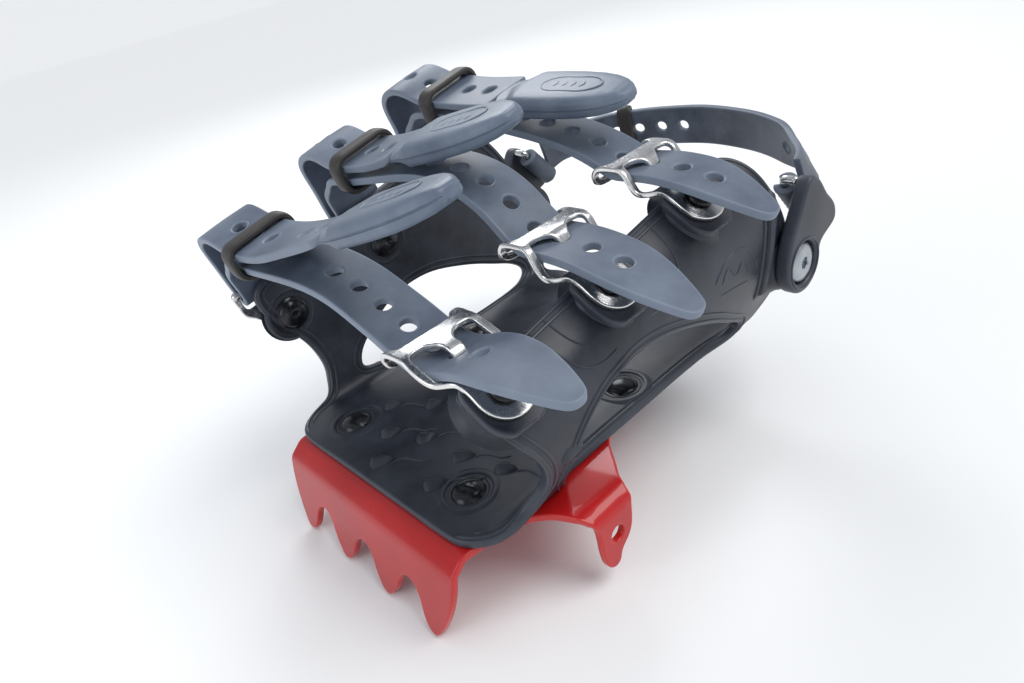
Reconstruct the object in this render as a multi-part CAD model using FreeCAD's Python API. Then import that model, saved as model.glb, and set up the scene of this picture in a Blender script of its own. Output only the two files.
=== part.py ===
"""Toe crampon with a strap-in harness, of the kind that pivots under a snowshoe.

Units are millimetres. X runs across the foot, +Y runs towards the heel and +Z is up. The sub-parts
are drawn with Z counted from the top of the steel deck, and save() then moves them so that the
origin is the middle of the pivot axis, DECK_TOP below the deck.
"""
import FreeCAD, Part
import math
import os
from FreeCAD import Vector

os.makedirs("parts", exist_ok=True)

# ---- frame ----
DECK_TOP = 12.0            # top of the steel deck over the pivot axis

# ---- steel crampon plate ----
STEEL_T = 2.5
DECK_FRONT_Y = -38.0       # where the deck starts to bend down into the toothed flange
FLANGE_Y = -44.0           # outer face of the flange below the bend
FLANGE_TOP_Z = -4.0
RAKE = 0.28                # forward run of the flange for each millimetre down
TOOTH_TIP_Z = -29.0
FLANGE_HALF_W = 47.5
EAR_X = 69.0               # outer face of the two pivot ears
EAR_SHOULDER_X = 65.0
EAR_DROP = 2.8
PIVOT_R = 2.6
FLANGE_UNDER = Vector(0, 0.96, -0.27)      # through the flange, towards its rear face

# ---- rubber harness ----
RUBBER_T = 3.0
FLOOR_HALF_W = 49.5
FLOOR_REAR_Y = 98.0
WALL_STATION_Y = 22.0      # place along the foot where the wall sections below are true to height
WALL_RISE = 0.00306        # the walls grow by this share of their height for each millimetre back
WALL_SPAN_Y = (-36.0, 114.0)
FLOOR_RIVETS = ((32.0, -22.0), (-32.0, -22.0), (39.0, 42.0), (-39.0, 42.0))
BOSS_R = 9.2               # round bosses of the walls under the buckles
HEEL_BOSS_R = 9.0
# Outer face of each wall at WALL_STATION_Y, from the floor's edge to the top, as (x, z).
RIGHT_WALL = (
    (FLOOR_HALF_W, 0.0), (52.5, 1.0), (57.0, 7.0), (62.3, 17.0), (65.6, 28.0), (66.6, 38.0),
    (65.6, 46.0), (62.8, 51.2), (59.2, 54.6), (55.6, 57.0), (52.4, 58.8),
)
LEFT_WALL = (
    (-FLOOR_HALF_W, 0.0), (-52.5, 1.0), (-56.6, 7.0), (-59.6, 17.0), (-61.0, 28.0), (-61.5, 38.0),
    (-61.5, 46.0), (-61.5, 51.4), (-61.5, 57.0), (-61.4, 62.0), (-61.2, 70.0),
)

# ---- straps, buckles and screws; front, middle and rear ----
NAMES = ("front", "middle", "rear")
STRAP_T = 3.0
STRAP_W = 20.0
HOLE_R = 2.5
SHEET_T = 1.6              # stamped steel of the buckles
GAP = 0.3                  # gap between pieces that move past each other
RUN = 0.05                 # radial clearance of a buckle on its screw
SCREW_R = 2.2
SCREW_HEAD_R = 4.2
SCREW_HEAD_H = 2.0
TAIL_TILT = 36.0           # slope of the right buckles' tail plates, in degrees
PEG_SCREWS = ((61.0, -20.0, 50.0), (61.0, 22.0, 57.2), (61.0, 63.0, 64.2))
BAR_RISE = (6.6, 12.9, 11.5)     # strap bar over the screw in each right buckle
BUCKLE_W = 25.4
WINDOW_W = 21.2
PEG_X = -17.8              # from the screw to the root of the peg
PEG_W = 3.6
LOOP_SCREWS = ((-61.5, -18.6, 40.0), (-61.5, 26.5, 48.0), (-61.5, 68.0, 57.0))
LEAN = 11.0                # the left buckles lean forward by this angle
LOOP_TAIL_X = -64.0        # middle of the left buckles' tail plates
LOOP_X = -67.2             # middle of the left buckles' bars
LOOP_BAR_H = 14.0          # bar over the screw in each left buckle
LOOP_BAR_R = 1.7
TAB_LENGTH = 52.0
TIP_LENGTH = 22.0          # length over which the free end narrows
TIP_BLUNT = 0.28           # share of the width left at the very end
HOLE_PITCH = 10.6
KEEPER_X = -40.0
KEEPER_LENGTH = 5.0
KEEPER_PLAY = 0.8
KEEPER_WALL = 1.8
UPPER_RUN = 150.0          # more than this far from its tip, a strap is in its upper run
STRAP_STEP = 2.6           # between the sections a strap is lofted through
FINE_STEP = 0.5            # between the places looked at to find a point on a strap
# Middle line of each strap's free end and its run over the instep, as (x, z), from the pointed
# tip on the right to the keeper on the left.
STRAP_OVER = (
    ((88.0, 56.8), (76.0, 58.6), (64.0, 59.2), (54.0, 57.6), (48.0, 55.4), (43.5, 54.1),
     (38.5, 53.9), (33.5, 54.9), (25.0, 58.4), (14.0, 62.6), (3.0, 66.6), (-8.0, 69.2), (-20.0, 70.6),
     (-34.0, 71.0), (-46.0, 70.6)),
    ((89.0, 55.6), (78.0, 60.2), (66.0, 64.4), (54.5, 66.7), (48.0, 67.2), (43.5, 67.2),
     (38.5, 67.5), (34.0, 70.2), (28.0, 75.6), (20.0, 80.6), (11.0, 83.6), (1.0, 85.0), (-12.0, 84.8),
     (-26.0, 83.6), (-38.0, 82.2), (-47.0, 81.2)),
    ((85.5, 62.6), (75.0, 67.4), (65.0, 71.0), (56.0, 72.6), (48.5, 73.0), (43.5, 72.8),
     (38.5, 73.0), (33.5, 75.0), (26.0, 78.2), (18.0, 80.6), (8.0, 82.8), (-2.0, 84.6), (-14.0, 86.8),
     (-28.0, 89.0), (-38.0, 90.2), (-47.0, 90.6)),
)
# Middle line of each strap's upper run, from the corner over the left buckle to the pull tab.
STRAP_BACK = (
    ((-63.6, 77.6), (-56.0, 78.2), (-46.0, 76.2), (-36.0, 75.8), (-24.0, 76.8), (-12.0, 79.2), (0.0, 82.4),
     (8.5, 85.1)),
    ((-63.6, 89.2), (-56.0, 89.7), (-47.0, 87.0), (-38.0, 87.0), (-29.0, 87.8), (-20.0, 89.3), (-13.5, 90.8)),
    ((-63.6, 98.8), (-56.0, 99.0), (-47.0, 96.0), (-38.0, 94.9), (-28.0, 94.2), (-18.0, 93.9), (-9.9, 94.0)),
)

# ---- heel strap ----
HEEL_Y = 103.0
HEEL_Z = 26.0
HEEL_HUB_R = 10.5
HEEL_X = 67.0              # inner face of the heel links
HEEL_LINK_T = 5.0
HEEL_RECESS = 2.2          # depth of the round recess for the heel screw's head
HEEL_HEAD_R = 6.7
HEEL_BAR_X = 61.8
HEEL_BAR_R = 1.6
HEEL_EYE_R = 4.4
HEEL_BAR_Y = 111.5
HEEL_BAR_Z = 46.0
HEEL_BAR_SLOPE = -38.0     # the bars point down towards the back by this angle
HEEL_TILT = -12.0          # then the whole heel strap is turned down about its screws by this
HEEL_STRAP_W = 17.0
HEEL_STRAP_T = 2.6
HEEL_STEPS = 60            # steps along the heel strap from the right bar to the left one
HEEL_KEEPER_STEP = 44
HEEL_KEEPER_PLAY = 0.55
HEEL_KEEPER_WALL = 1.6
HEEL_KEEPER_LENGTH = 6.0
HEEL_HOLE_STEPS = (7, 11, 34, 38, 42, 46, 50)
HEEL_HOLE_R = 2.2

# ---- nut seats: distance from a screw's reference point in to the nut on the inner side ----
RIGHT_SEAT = -6.0
LEFT_SEAT = -5.5
HEEL_SEATS = {1: -6.0, -1: -7.5}
NUT_R = 6.2
NUT_H = 3.0
THREAD = 2.0               # how far each shank runs into its nut


def save(name, *solids):
    """Write one node, as one solid or as a group of separate solids."""
    shape = solids[0] if len(solids) == 1 else Part.makeCompound(list(solids))
    moved = shape.copy()
    moved.translate(Vector(0, 0, DECK_TOP))
    moved.exportStep("parts/" + name + ".step")


def outline(points):
    """Closed straight-sided wire through 3-D points."""
    vectors = [Vector(*p) for p in points]
    return Part.makePolygon(vectors + [vectors[0]])


def prism(wire, direction):
    """Solid swept from a flat wire along a direction."""
    return Part.Face(wire).extrude(Vector(*direction))


def mirror_x(shape):
    """The same shape on the other side of the foot."""
    return shape.mirror(Vector(0, 0, 0), Vector(1, 0, 0))


def round_edges(shape, axis, radius):
    """Fillet the straight edges that run along one axis."""
    chosen = []
    for edge in shape.Edges:
        if isinstance(edge.Curve, Part.Line) and abs(edge.tangentAt(edge.FirstParameter).dot(axis)) > 0.999:
            chosen.append(edge)
    return shape.makeFillet(radius, chosen)


def disc(centre, normal, radius, low, high):
    """Round plate between two heights along its normal, measured from centre."""
    direction = Vector(*normal).normalize()
    return Part.makeCylinder(radius, high - low, Vector(*centre) + direction * low, direction)


def dome(centre, normal, radius, height):
    """Low spherical head that stands on centre."""
    ball_r = (radius ** 2 + height ** 2) / (2 * height)
    direction = Vector(*normal).normalize()
    ball = Part.makeSphere(ball_r, Vector(*centre) + direction * (height - ball_r))
    return ball.common(disc(centre, normal, radius, 0, height))


# ---------------------------------------------------------------- crampon plate

def bent_sheet(path, thickness, width_start, width, axis):
    """Bent sheet: a smooth strip of given thickness, drawn in a plane and swept along axis."""
    top = [Vector(*p) for p in path]
    bottom = []
    for i, point in enumerate(top):
        before = top[max(i - 1, 0)]
        after = top[min(i + 1, len(top) - 1)]
        normal = axis.cross(after - before).normalize()
        bottom.append(point + normal * thickness)
    wire = Part.makePolygon(top + bottom[::-1] + [top[0]])
    wire.translate(axis * width_start)
    return Part.Face(wire).extrude(axis * width)


def flange_blank():
    """Deck and raked front flange before the teeth are cut, bent round a large radius."""
    y_end = FLANGE_Y + RAKE * (TOOTH_TIP_Z - FLANGE_TOP_Z)
    rear = Vector(0, 54, 0)
    bend_start = Vector(0, DECK_FRONT_Y, 0)
    bend_mid = Vector(0, -41.9, -1.2)
    bend_end = Vector(0, FLANGE_Y, FLANGE_TOP_Z)
    tip = Vector(0, y_end, TOOTH_TIP_Z - 1)
    inner_tip = tip + FLANGE_UNDER * STEEL_T
    inner_end = Vector(0, FLANGE_Y, FLANGE_TOP_Z) + Vector(0, STEEL_T * 0.93, -STEEL_T * 0.36)
    inner_mid = bend_mid + Vector(0, STEEL_T * 0.55, -STEEL_T * 0.83)
    inner_start = bend_start + Vector(0, 0, -STEEL_T)
    edges = [
        Part.LineSegment(rear, bend_start).toShape(),
        Part.Arc(bend_start, bend_mid, bend_end).toShape(),
        Part.LineSegment(bend_end, tip).toShape(),
        Part.LineSegment(tip, inner_tip).toShape(),
        Part.LineSegment(inner_tip, inner_end).toShape(),
        Part.Arc(inner_end, inner_mid, inner_start).toShape(),
        Part.LineSegment(inner_start, rear + Vector(0, 0, -STEEL_T)).toShape(),
        Part.LineSegment(rear + Vector(0, 0, -STEEL_T), rear).toShape(),
    ]
    wire = Part.Wire(edges)
    wire.translate(Vector(-EAR_SHOULDER_X, 0, 0))
    return Part.Face(wire).extrude(Vector(2 * EAR_SHOULDER_X, 0, 0))


def tooth_outline():
    """Front view of the flange: four teeth, the outer pair pointed and the inner pair blunter."""
    half = [
        (0.0, -16.2), (2.6, -16.8), (5.0, -19.5), (6.8, -24.0), (9.0, -27.5), (11.6, -28.9),
        (14.6, -28.6), (17.0, -26.4), (18.8, -22.6), (20.6, -18.6), (23.2, -16.4), (26.2, -16.6),
        (29.0, -18.6), (31.0, -22.6), (33.4, -26.6), (36.0, -28.8), (38.4, -29.0), (40.6, -27.2),
        (43.2, -22.4), (45.4, -15.0), (47.2, -6.0), (FLANGE_HALF_W, 2.0),
    ]
    right = [Vector(x, 0, z) for x, z in half]
    left = [Vector(-x, 0, z) for x, z in half[:0:-1]]
    curve = Part.BSplineCurve()
    curve.interpolate(left + right)
    close = Part.makePolygon([right[-1], left[0]])
    return Part.Wire([curve.toShape()] + close.Edges)


def deck_outline():
    """Plan of the deck: wide ears at the pivot, hollow sides in front, a tapered tail behind."""
    side = [
        (48.4, -32.6), (49.5, -23.8), (53.0, -17.0), (59.5, -11.5), (EAR_SHOULDER_X, -9.0),
    ]
    back = [
        (EAR_SHOULDER_X, 8.5), (60.0, 13.0), (53.0, 18.6), (48.3, 24.5), (47.0, 32.0), (47.0, 42.0),
    ]
    right_front = Part.BSplineCurve()
    right_front.interpolate([Vector(FLANGE_HALF_W, DECK_FRONT_Y, 0)] + [Vector(x, y, 0) for x, y in side])
    right_back = Part.BSplineCurve()
    right_back.interpolate([Vector(x, y, 0) for x, y in back])
    corner = Part.Arc(Vector(47.0, 42.0, 0), Vector(44.0, 49.0, 0), Vector(37.0, 52.0, 0)).toShape()
    right = [
        right_front.toShape(),
        Part.makeLine(Vector(EAR_SHOULDER_X, -9.0, 0), Vector(EAR_SHOULDER_X, 8.5, 0)),
        right_back.toShape(),
        corner,
    ]
    left = [mirror_x(edge) for edge in right]
    ends = [
        Part.makeLine(Vector(37.0, 52.0, 0), Vector(-37.0, 52.0, 0)),
        Part.makeLine(Vector(-FLANGE_HALF_W, DECK_FRONT_Y, 0), Vector(-FLANGE_HALF_W, -60, 0)),
        Part.makeLine(Vector(-FLANGE_HALF_W, -60, 0), Vector(FLANGE_HALF_W, -60, 0)),
        Part.makeLine(Vector(FLANGE_HALF_W, -60, 0), Vector(FLANGE_HALF_W, DECK_FRONT_Y, 0)),
    ]
    return Part.Wire(Part.__sortEdges__(right + left + ends))


def ear():
    """Right pivot ear: a short slope from the deck, then an upright leaf with the pivot hole."""
    drop = -EAR_DROP
    section = outline([
        (EAR_SHOULDER_X, 0, 0), (EAR_X, 0, drop), (EAR_X, 0, -23.5), (EAR_X - STEEL_T, 0, -23.5),
        (EAR_X - STEEL_T, 0, drop - 1.4), (EAR_SHOULDER_X, 0, -STEEL_T),
    ])
    section.translate(Vector(0, -9.0, 0))
    leaf = prism(section, (0, 17.5, 0))
    profile = [
        (8.5, 0.5), (7.4, -8.6), (6.2, -13.7), (3.9, -16.8), (0.6, -19.6), (-0.8, -22.3),
        (-2.9, -23.1), (-5.2, -21.8), (-6.6, -17.6), (-6.6, -8.5), (-9.0, 0.5),
    ]
    curve = Part.BSplineCurve()
    curve.interpolate([Vector(EAR_X - 10, y, z) for y, z in profile])
    top = Part.makePolygon([Vector(EAR_X - 10, -9.0, 0.5), Vector(EAR_X - 10, 8.5, 0.5)])
    leaf = leaf.common(prism(Part.Wire([curve.toShape()] + top.Edges), (20, 0, 0)))
    bore = Part.makeCylinder(PIVOT_R, 20, Vector(EAR_X - 10, 0, -DECK_TOP), Vector(1, 0, 0))
    return leaf.cut(bore)


def crampon_plate():
    plate = flange_blank()
    deck_wire = deck_outline()
    deck_wire.translate(Vector(0, 0, -40))
    plate = plate.common(prism(deck_wire, (0, 0, 60)))
    teeth = tooth_outline()
    teeth.translate(Vector(0, -60, 0))
    plate = plate.cut(Part.makeBox(200, 40, 60, Vector(-100, -61, -60)).cut(prism(teeth, (0, 40, 0))))
    plate = plate.fuse(ear()).fuse(mirror_x(ear())).removeSplitter()
    for x, y in FLOOR_RIVETS:
        plate = plate.cut(disc((x, y, 0), (0, 0, 1), SCREW_R, -10, 10))
    return plate


# ---------------------------------------------------------------- harness

def floor_outline():
    """Plan of the harness floor: rounded front wings that overhang the steel, straight sides."""
    wing = [
        (40.0, -37.5), (45.5, -38.2), (51.0, -34.5), (54.0, -28.0), (53.6, -20.5), (FLOOR_HALF_W, -13.5),
    ]
    curve = Part.BSplineCurve()
    curve.interpolate([Vector(x, y, 0) for x, y in wing])
    rear_corner = Part.Arc(
        Vector(FLOOR_HALF_W, FLOOR_REAR_Y - 8, 0),
        Vector(FLOOR_HALF_W - 2.4, FLOOR_REAR_Y - 2.4, 0),
        Vector(FLOOR_HALF_W - 8, FLOOR_REAR_Y, 0),
    ).toShape()
    right = [
        curve.toShape(),
        Part.makeLine(Vector(FLOOR_HALF_W, -13.5, 0), Vector(FLOOR_HALF_W, FLOOR_REAR_Y - 8, 0)),
        rear_corner,
    ]
    left = [mirror_x(edge) for edge in right]
    ends = [
        Part.makeLine(Vector(-40.0, -37.5, 0), Vector(40.0, -37.5, 0)),
        Part.makeLine(Vector(FLOOR_HALF_W - 8, FLOOR_REAR_Y, 0), Vector(8 - FLOOR_HALF_W, FLOOR_REAR_Y, 0)),
    ]
    return Part.Wire(Part.__sortEdges__(right + left + ends))


def harness_floor():
    floor = prism(floor_outline(), (0, 0, RUBBER_T))
    for x, y in FLOOR_RIVETS:
        floor = floor.cut(disc((x, y, 0), (0, 0, 1), SCREW_R, -1, RUBBER_T + 1))
    return floor


def wall_section(face, y):
    """Closed section of a wall at one place along the foot: its outer face and a parallel inner one."""
    grow = 1 + (y - WALL_STATION_Y) * WALL_RISE
    outer = [Vector(x, y, z * grow) for x, z in face]
    side = 1 if face[0][0] > 0 else -1
    inner = [outer[0] + Vector(0, 0, RUBBER_T)]
    for before, point, after in zip(outer, outer[1:], outer[2:] + [outer[-1]]):
        run = (after - before).normalize()
        inner.append(point + Vector(-run.z, 0, run.x) * side * RUBBER_T)
    outer_curve = Part.BSplineCurve()
    outer_curve.interpolate(outer)
    inner_curve = Part.BSplineCurve()
    inner_curve.interpolate(inner)
    return Part.Wire([
        outer_curve.toShape(),
        Part.makeLine(outer[-1], inner[-1]),
        inner_curve.toShape(),
        Part.makeLine(inner[0], outer[0]),
    ])


def wall_outline():
    """Side view of a wall: a leaning front column, a rising top edge and a rear column."""
    front = [
        (-14.0, -1.0), (-17.0, 6.0), (-18.2, 14.0), (-19.0, 24.0), (-22.0, 34.0), (-26.5, 43.0),
        (-29.0, 49.0), (-28.0, 54.0), (-22.0, 57.0),
    ]
    rear = [
        (74.0, 75.0), (84.0, 70.0), (93.0, 58.0), (99.0, 47.0), (105.0, 34.0), (109.0, 24.0), (108.0, 13.0),
        (103.0, 5.0), (96.0, 0.6), (88.0, -1.0),
    ]
    front_curve = Part.BSplineCurve()
    front_curve.interpolate([Vector(0, y, z) for y, z in front])
    rear_curve = Part.BSplineCurve()
    rear_curve.interpolate([Vector(0, y, z) for y, z in rear])
    lines = Part.makePolygon([Vector(0, 74.0, 75.0), Vector(0, -22.0, 57.0)])
    base = Part.makePolygon([Vector(0, 88.0, -1.0), Vector(0, -14.0, -1.0)])
    curves = [front_curve.toShape(), rear_curve.toShape()]
    return Part.Wire(Part.__sortEdges__(curves + lines.Edges + base.Edges))


def wall_window():
    """Side view of the arched window between the floor's edge and the wall."""
    arch = [
        (-1.0, -2.0), (-2.4, 5.0), (-1.4, 11.0), (3.0, 15.0), (9.0, 18.6), (18.0, 23.4), (30.0, 26.8),
        (42.0, 27.0), (54.0, 24.0), (68.0, 18.0), (80.0, 10.5), (87.0, 6.0), (90.0, -2.0),
    ]
    curve = Part.BSplineCurve()
    curve.interpolate([Vector(0, y, z) for y, z in arch])
    base = Part.makePolygon([Vector(0, 90.0, -2.0), Vector(0, -1.0, -2.0)])
    return Part.Wire([curve.toShape()] + base.Edges)


def wall_blank(face):
    """One harness wall with its outline and its window, before the screw bosses."""
    stations = [wall_section(face, y) for y in WALL_SPAN_Y]
    sheet = Part.makeLoft(stations, True, True)
    side = 1 if face[0][0] > 0 else -1
    keep = prism(wall_outline(), (side * 100, 0, 0))
    window = prism(wall_window(), (side * 100, 0, 0))
    return sheet.common(keep).cut(window).cut(prism(floor_outline(), (0, 0, RUBBER_T)))


def tail_normal():
    """Direction of the right buckles' screws: up and away from the foot."""
    angle = math.radians(TAIL_TILT)
    return Vector(math.sin(angle), 0, math.cos(angle))


def drill(wall, point, normal, seat):
    """Screw hole through a wall, with a flat seat for the nut on the inner side."""
    hole = disc(point, normal, SCREW_R, -16, 4)
    return wall.cut(hole).cut(disc(point, normal, NUT_R + 0.1, -16, seat))


def harness_wall_right():
    """Right wall with a round boss under each buckle and a hub for the heel screw."""
    wall = wall_blank(RIGHT_WALL)
    normal = tail_normal()
    face = -SHEET_T / 2 - GAP
    for point in PEG_SCREWS:
        wall = wall.fuse(disc(point, normal, BOSS_R, face - 4.5, face))
    wall = wall.fuse(disc((HEEL_X, HEEL_Y, HEEL_Z), (1, 0, 0), HEEL_BOSS_R, -5.5, -GAP))
    for point in PEG_SCREWS:
        x, y, z = point
        room_for_rails = Part.makeBox(26, 30, 30, Vector(x - 30, y - 15, z + 3.0))
        wall = drill(wall, point, normal, RIGHT_SEAT).cut(room_for_rails)
    return drill(wall, (HEEL_X, HEEL_Y, HEEL_Z), (1, 0, 0), HEEL_SEATS[1]).removeSplitter()


def harness_wall_left():
    """Left wall, which stands more upright, with the same bosses on its outer face."""
    wall = wall_blank(LEFT_WALL)
    outward = (-1, 0, 0)
    loop_face = LOOP_TAIL_X + SHEET_T / 2 + GAP
    for _, y, z in LOOP_SCREWS:
        wall = wall.fuse(disc((loop_face, y, z), outward, BOSS_R, -2.4, 0))
    wall = wall.fuse(disc((-HEEL_X, HEEL_Y, HEEL_Z), outward, HEEL_BOSS_R, -7.5, -GAP))
    for _, y, z in LOOP_SCREWS:
        wall = drill(wall, (LOOP_TAIL_X, y, z), outward, LEFT_SEAT)
    return drill(wall, (-HEEL_X, HEEL_Y, HEEL_Z), outward, HEEL_SEATS[-1]).removeSplitter()


# ---------------------------------------------------------------- fixed fasteners

def floor_rivet(x, y):
    """Domed rivet head on the rubber floor, with its shank and its closed foot under the steel."""
    head = dome((x, y, RUBBER_T), (0, 0, 1), 6.0, 2.6)
    shank = disc((x, y, 0), (0, 0, 1), SCREW_R, -STEEL_T, RUBBER_T)
    foot = disc((x, y, 0), (0, 0, 1), 4.5, -STEEL_T - 1.4, -STEEL_T)
    return head.fuse(shank).fuse(foot)


def floor_washer(x, y):
    """Flat ring between the steel and the rivet's foot."""
    ring = disc((x, y, 0), (0, 0, 1), 7.0, -STEEL_T - 0.8, -STEEL_T)
    return ring.cut(disc((x, y, 0), (0, 0, 1), 4.5, -5, 0))


def screw(point, normal, inner, head_r, head_low):
    """Button screw: a shank from the inner nut's face to the head, and a head with a round socket."""
    shank = disc(point, normal, SCREW_R, inner, head_low)
    head = disc(point, normal, head_r, head_low, head_low + SCREW_HEAD_H)
    top = [edge for edge in head.Edges if edge.Length > 2 * math.pi * head_r * 0.9]
    direction = Vector(*normal).normalize()
    rim = max(top, key=lambda edge: edge.CenterOfMass.dot(direction))
    head = head.makeFillet(0.9, [rim])
    socket = disc(point, normal, 1.5, head_low + 0.9, head_low + SCREW_HEAD_H + 1)
    return head.fuse(shank).cut(socket)


def inner_nut(point, normal, seat):
    """Domed nut on its seat inside the wall, round the end of the shank."""
    outward = Vector(*normal).normalize()
    body = dome(tuple(Vector(*point) + outward * seat), tuple(outward * -1), NUT_R, NUT_H)
    return body.cut(disc(point, normal, SCREW_R, seat - THREAD, seat + 1))


# ---------------------------------------------------------------- buckles

def peg_profile(rise):
    """Side view of a right buckle, as distance inboard of its screw and height over it."""
    return [
        (30.4, rise - 6.6), (28.0, rise - 5.4), (24.6, rise - 1.0), (22.6, rise), (17.2, rise),
        (15.0, rise - 1.2), (11.6, 4.6), (9.6, 3.9), (6.2, 4.0), (4.6, 3.3), (-9.0, -6.5),
    ]


def peg_buckle(point, rise):
    """Right buckle: a stamped frame with a lower bar, a strap bar, a peg, and a round tail."""
    px, py, pz = point
    lift = SHEET_T / 2 / math.cos(math.radians(TAIL_TILT))
    path = [(px - u, 0, pz + w + lift) for u, w in peg_profile(rise)]
    sheet = bent_sheet(path[::-1], -SHEET_T, py - BUCKLE_W / 2, BUCKLE_W, Vector(0, 1, 0))
    plan = outline([
        (px - 40, py - 13, 0), (px - 14, py - 13, 0), (px - 8, py - 11, 0), (px - 3, py - 8.2, 0),
        (px + 2, py - 8.0, 0), (px + 7, py - 4, 0), (px + 8, py, 0), (px + 7, py + 4, 0),
        (px + 2, py + 8.0, 0), (px - 3, py + 8.2, 0), (px - 8, py + 11, 0), (px - 14, py + 13, 0),
        (px - 40, py + 13, 0),
    ])
    sheet = sheet.common(prism(plan, (0, 0, 200)))
    for inner_u, outer_u in ((17.6, 9.4), (28.6, 22.2)):
        corner = Vector(px - inner_u, py - WINDOW_W / 2, pz - 5)
        sheet = sheet.cut(Part.makeBox(inner_u - outer_u, WINDOW_W, 60, corner))
    peg_x = px + PEG_X
    peg_top = pz + rise + lift
    peg_path = [
        (peg_x, 0, peg_top), (peg_x + 2.0, 0, peg_top - 0.3), (peg_x + 3.3, 0, peg_top - 1.8),
        (peg_x + 3.6, 0, peg_top - 5.2),
    ]
    peg = bent_sheet(peg_path, SHEET_T, py - PEG_W / 2, PEG_W, Vector(0, 1, 0))
    hole = disc(point, tail_normal(), SCREW_R + RUN, -5, 5)
    return sheet.fuse(peg).cut(hole).removeSplitter()


def loop_frame(point):
    """Placement that leans a left buckle forward about its screw."""
    _, y, z = point
    turn = FreeCAD.Rotation(Vector(1, 0, 0), LEAN)
    return FreeCAD.Placement(Vector(0, y, z), turn)


def loop_buckle(point):
    """Left buckle: an upright plate that steps out to a round bar for the strap's loop."""
    path = [
        (LOOP_TAIL_X - SHEET_T / 2, 0, -9.0), (LOOP_TAIL_X - SHEET_T / 2, 0, 4.6),
        (LOOP_X - SHEET_T / 2, 0, 9.0), (LOOP_X - SHEET_T / 2, 0, LOOP_BAR_H),
    ]
    half_w = BUCKLE_W / 2
    window_z = 8.4
    body = bent_sheet(path, SHEET_T, -half_w, BUCKLE_W, Vector(0, 1, 0))
    side = [(4.0, -7.6), (7.6, -3.4), (8.4, 1.0), (half_w, 6.0), (half_w, 20.0)]
    around = side + [(-y, z) for y, z in side[::-1]]
    body = body.common(prism(outline([(LOOP_X - 5, y, z) for y, z in around]), (12, 0, 0)))
    corner = Vector(LOOP_X - 7, -WINDOW_W / 2, window_z)
    body = body.cut(Part.makeBox(14, WINDOW_W, LOOP_BAR_H - window_z, corner))
    bar = Part.makeCylinder(LOOP_BAR_R, BUCKLE_W, Vector(LOOP_X, -half_w, LOOP_BAR_H), Vector(0, 1, 0))
    body = body.fuse(bar).cut(disc((LOOP_TAIL_X, 0, 0), (1, 0, 0), SCREW_R + RUN, -5, 5)).removeSplitter()
    body.Placement = loop_frame(point)
    return body


# ---------------------------------------------------------------- straps

def loop_line(k):
    """Middle line of the strap round the left buckle's bar: down inside it, round, and up outside."""
    bar_z = LOOP_SCREWS[k][2] + LOOP_BAR_H * math.cos(math.radians(LEAN))
    low = STRAP_OVER[k][-1][1]
    high = STRAP_BACK[k][0][1]
    turn_r = LOOP_BAR_R + GAP + STRAP_T / 2
    points = [(-54.4, low - 1.2), (-58.6, low - 4.4), (LOOP_X + turn_r, low - 9.0)]
    inner_drop = low - 9.0 - bar_z
    if inner_drop > 5.0:
        points.append((LOOP_X + turn_r, bar_z + inner_drop / 2))
    for degrees in (0, -45, -90, -135, -180):
        angle = math.radians(degrees)
        points.append((LOOP_X + turn_r * math.cos(angle), bar_z + turn_r * math.sin(angle)))
    points.append((LOOP_X - turn_r, (bar_z + high) / 2))
    points.append((LOOP_X - turn_r + 0.4, high - 5.0))
    return points


def smooth_step(value):
    """Ease from 0 to 1."""
    t = min(max(value, 0.0), 1.0)
    return t * t * (3 - 2 * t)


def strap_place(k, x, z):
    """Place and roll of strap k at a point of its side view.

    On the right it lies square to the foot. Towards the left it leans with the left buckle.
    """
    blend = smooth_step((x + 42.0) / 56.0)
    _, loop_y, loop_z = LOOP_SCREWS[k]
    leaning_y = loop_y - (z - loop_z) * math.tan(math.radians(LEAN))
    y = leaning_y * (1 - blend) + PEG_SCREWS[k][1] * blend
    roll = math.radians(LEAN) * (1 - blend)
    return Vector(x, y, z), Vector(0, math.cos(roll), math.sin(roll))


def strap_curve(k):
    """Smooth side-view curve of a whole strap, from its tip to its pull tab."""
    points = list(STRAP_OVER[k]) + loop_line(k) + list(STRAP_BACK[k])
    curve = Part.BSplineCurve()
    curve.interpolate([Vector(x, 0, z) for x, z in points])
    return curve


def ribbon(frames, thickness, width_at):
    """Solid band through frames of (middle, across, normal), its width given for each frame."""
    wires = []
    for i, (middle, across, normal) in enumerate(frames):
        half_w = across * (width_at(i) / 2)
        half_t = normal * (thickness / 2)
        corners = [
            middle - half_w - half_t, middle + half_w - half_t,
            middle + half_w + half_t, middle - half_w + half_t,
        ]
        wires.append(Part.makePolygon(corners + [corners[0]]))
    return Part.makeLoft(wires, True, True)


def strap_frames(k, step):
    """Frames along a strap about every step millimetres, with the distance of each from the tip."""
    curve = strap_curve(k)
    count = int(curve.length() / step)
    frames = []
    for i in range(count + 1):
        distance = curve.length() * i / count
        parameter = curve.parameterAtDistance(distance, curve.FirstParameter)
        point = curve.value(parameter)
        ahead = Vector(*curve.tangent(parameter)[0])
        middle, across = strap_place(k, point.x, point.z)
        normal = ahead.cross(across).normalize()
        frames.append((middle, across, normal, distance))
    return frames


def strap_hole_distances(k, total):
    """Distances from the tip of the holes: round the peg, over the instep, and in the upper run."""
    peg_x = PEG_SCREWS[k][0] - 15.0
    peg_distance = min(
        (abs(frame[0].x - peg_x) + abs(frame[0].z - PEG_SCREWS[k][2] - BAR_RISE[k]), frame[3])
        for frame in strap_frames(k, FINE_STEP)
    )[1]
    over = [peg_distance + HOLE_PITCH * i for i in range(-2, 6)]
    upper = [total - 8.0 - HOLE_PITCH * i for i in (0, 1, 3, 4)]
    return over + upper


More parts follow.
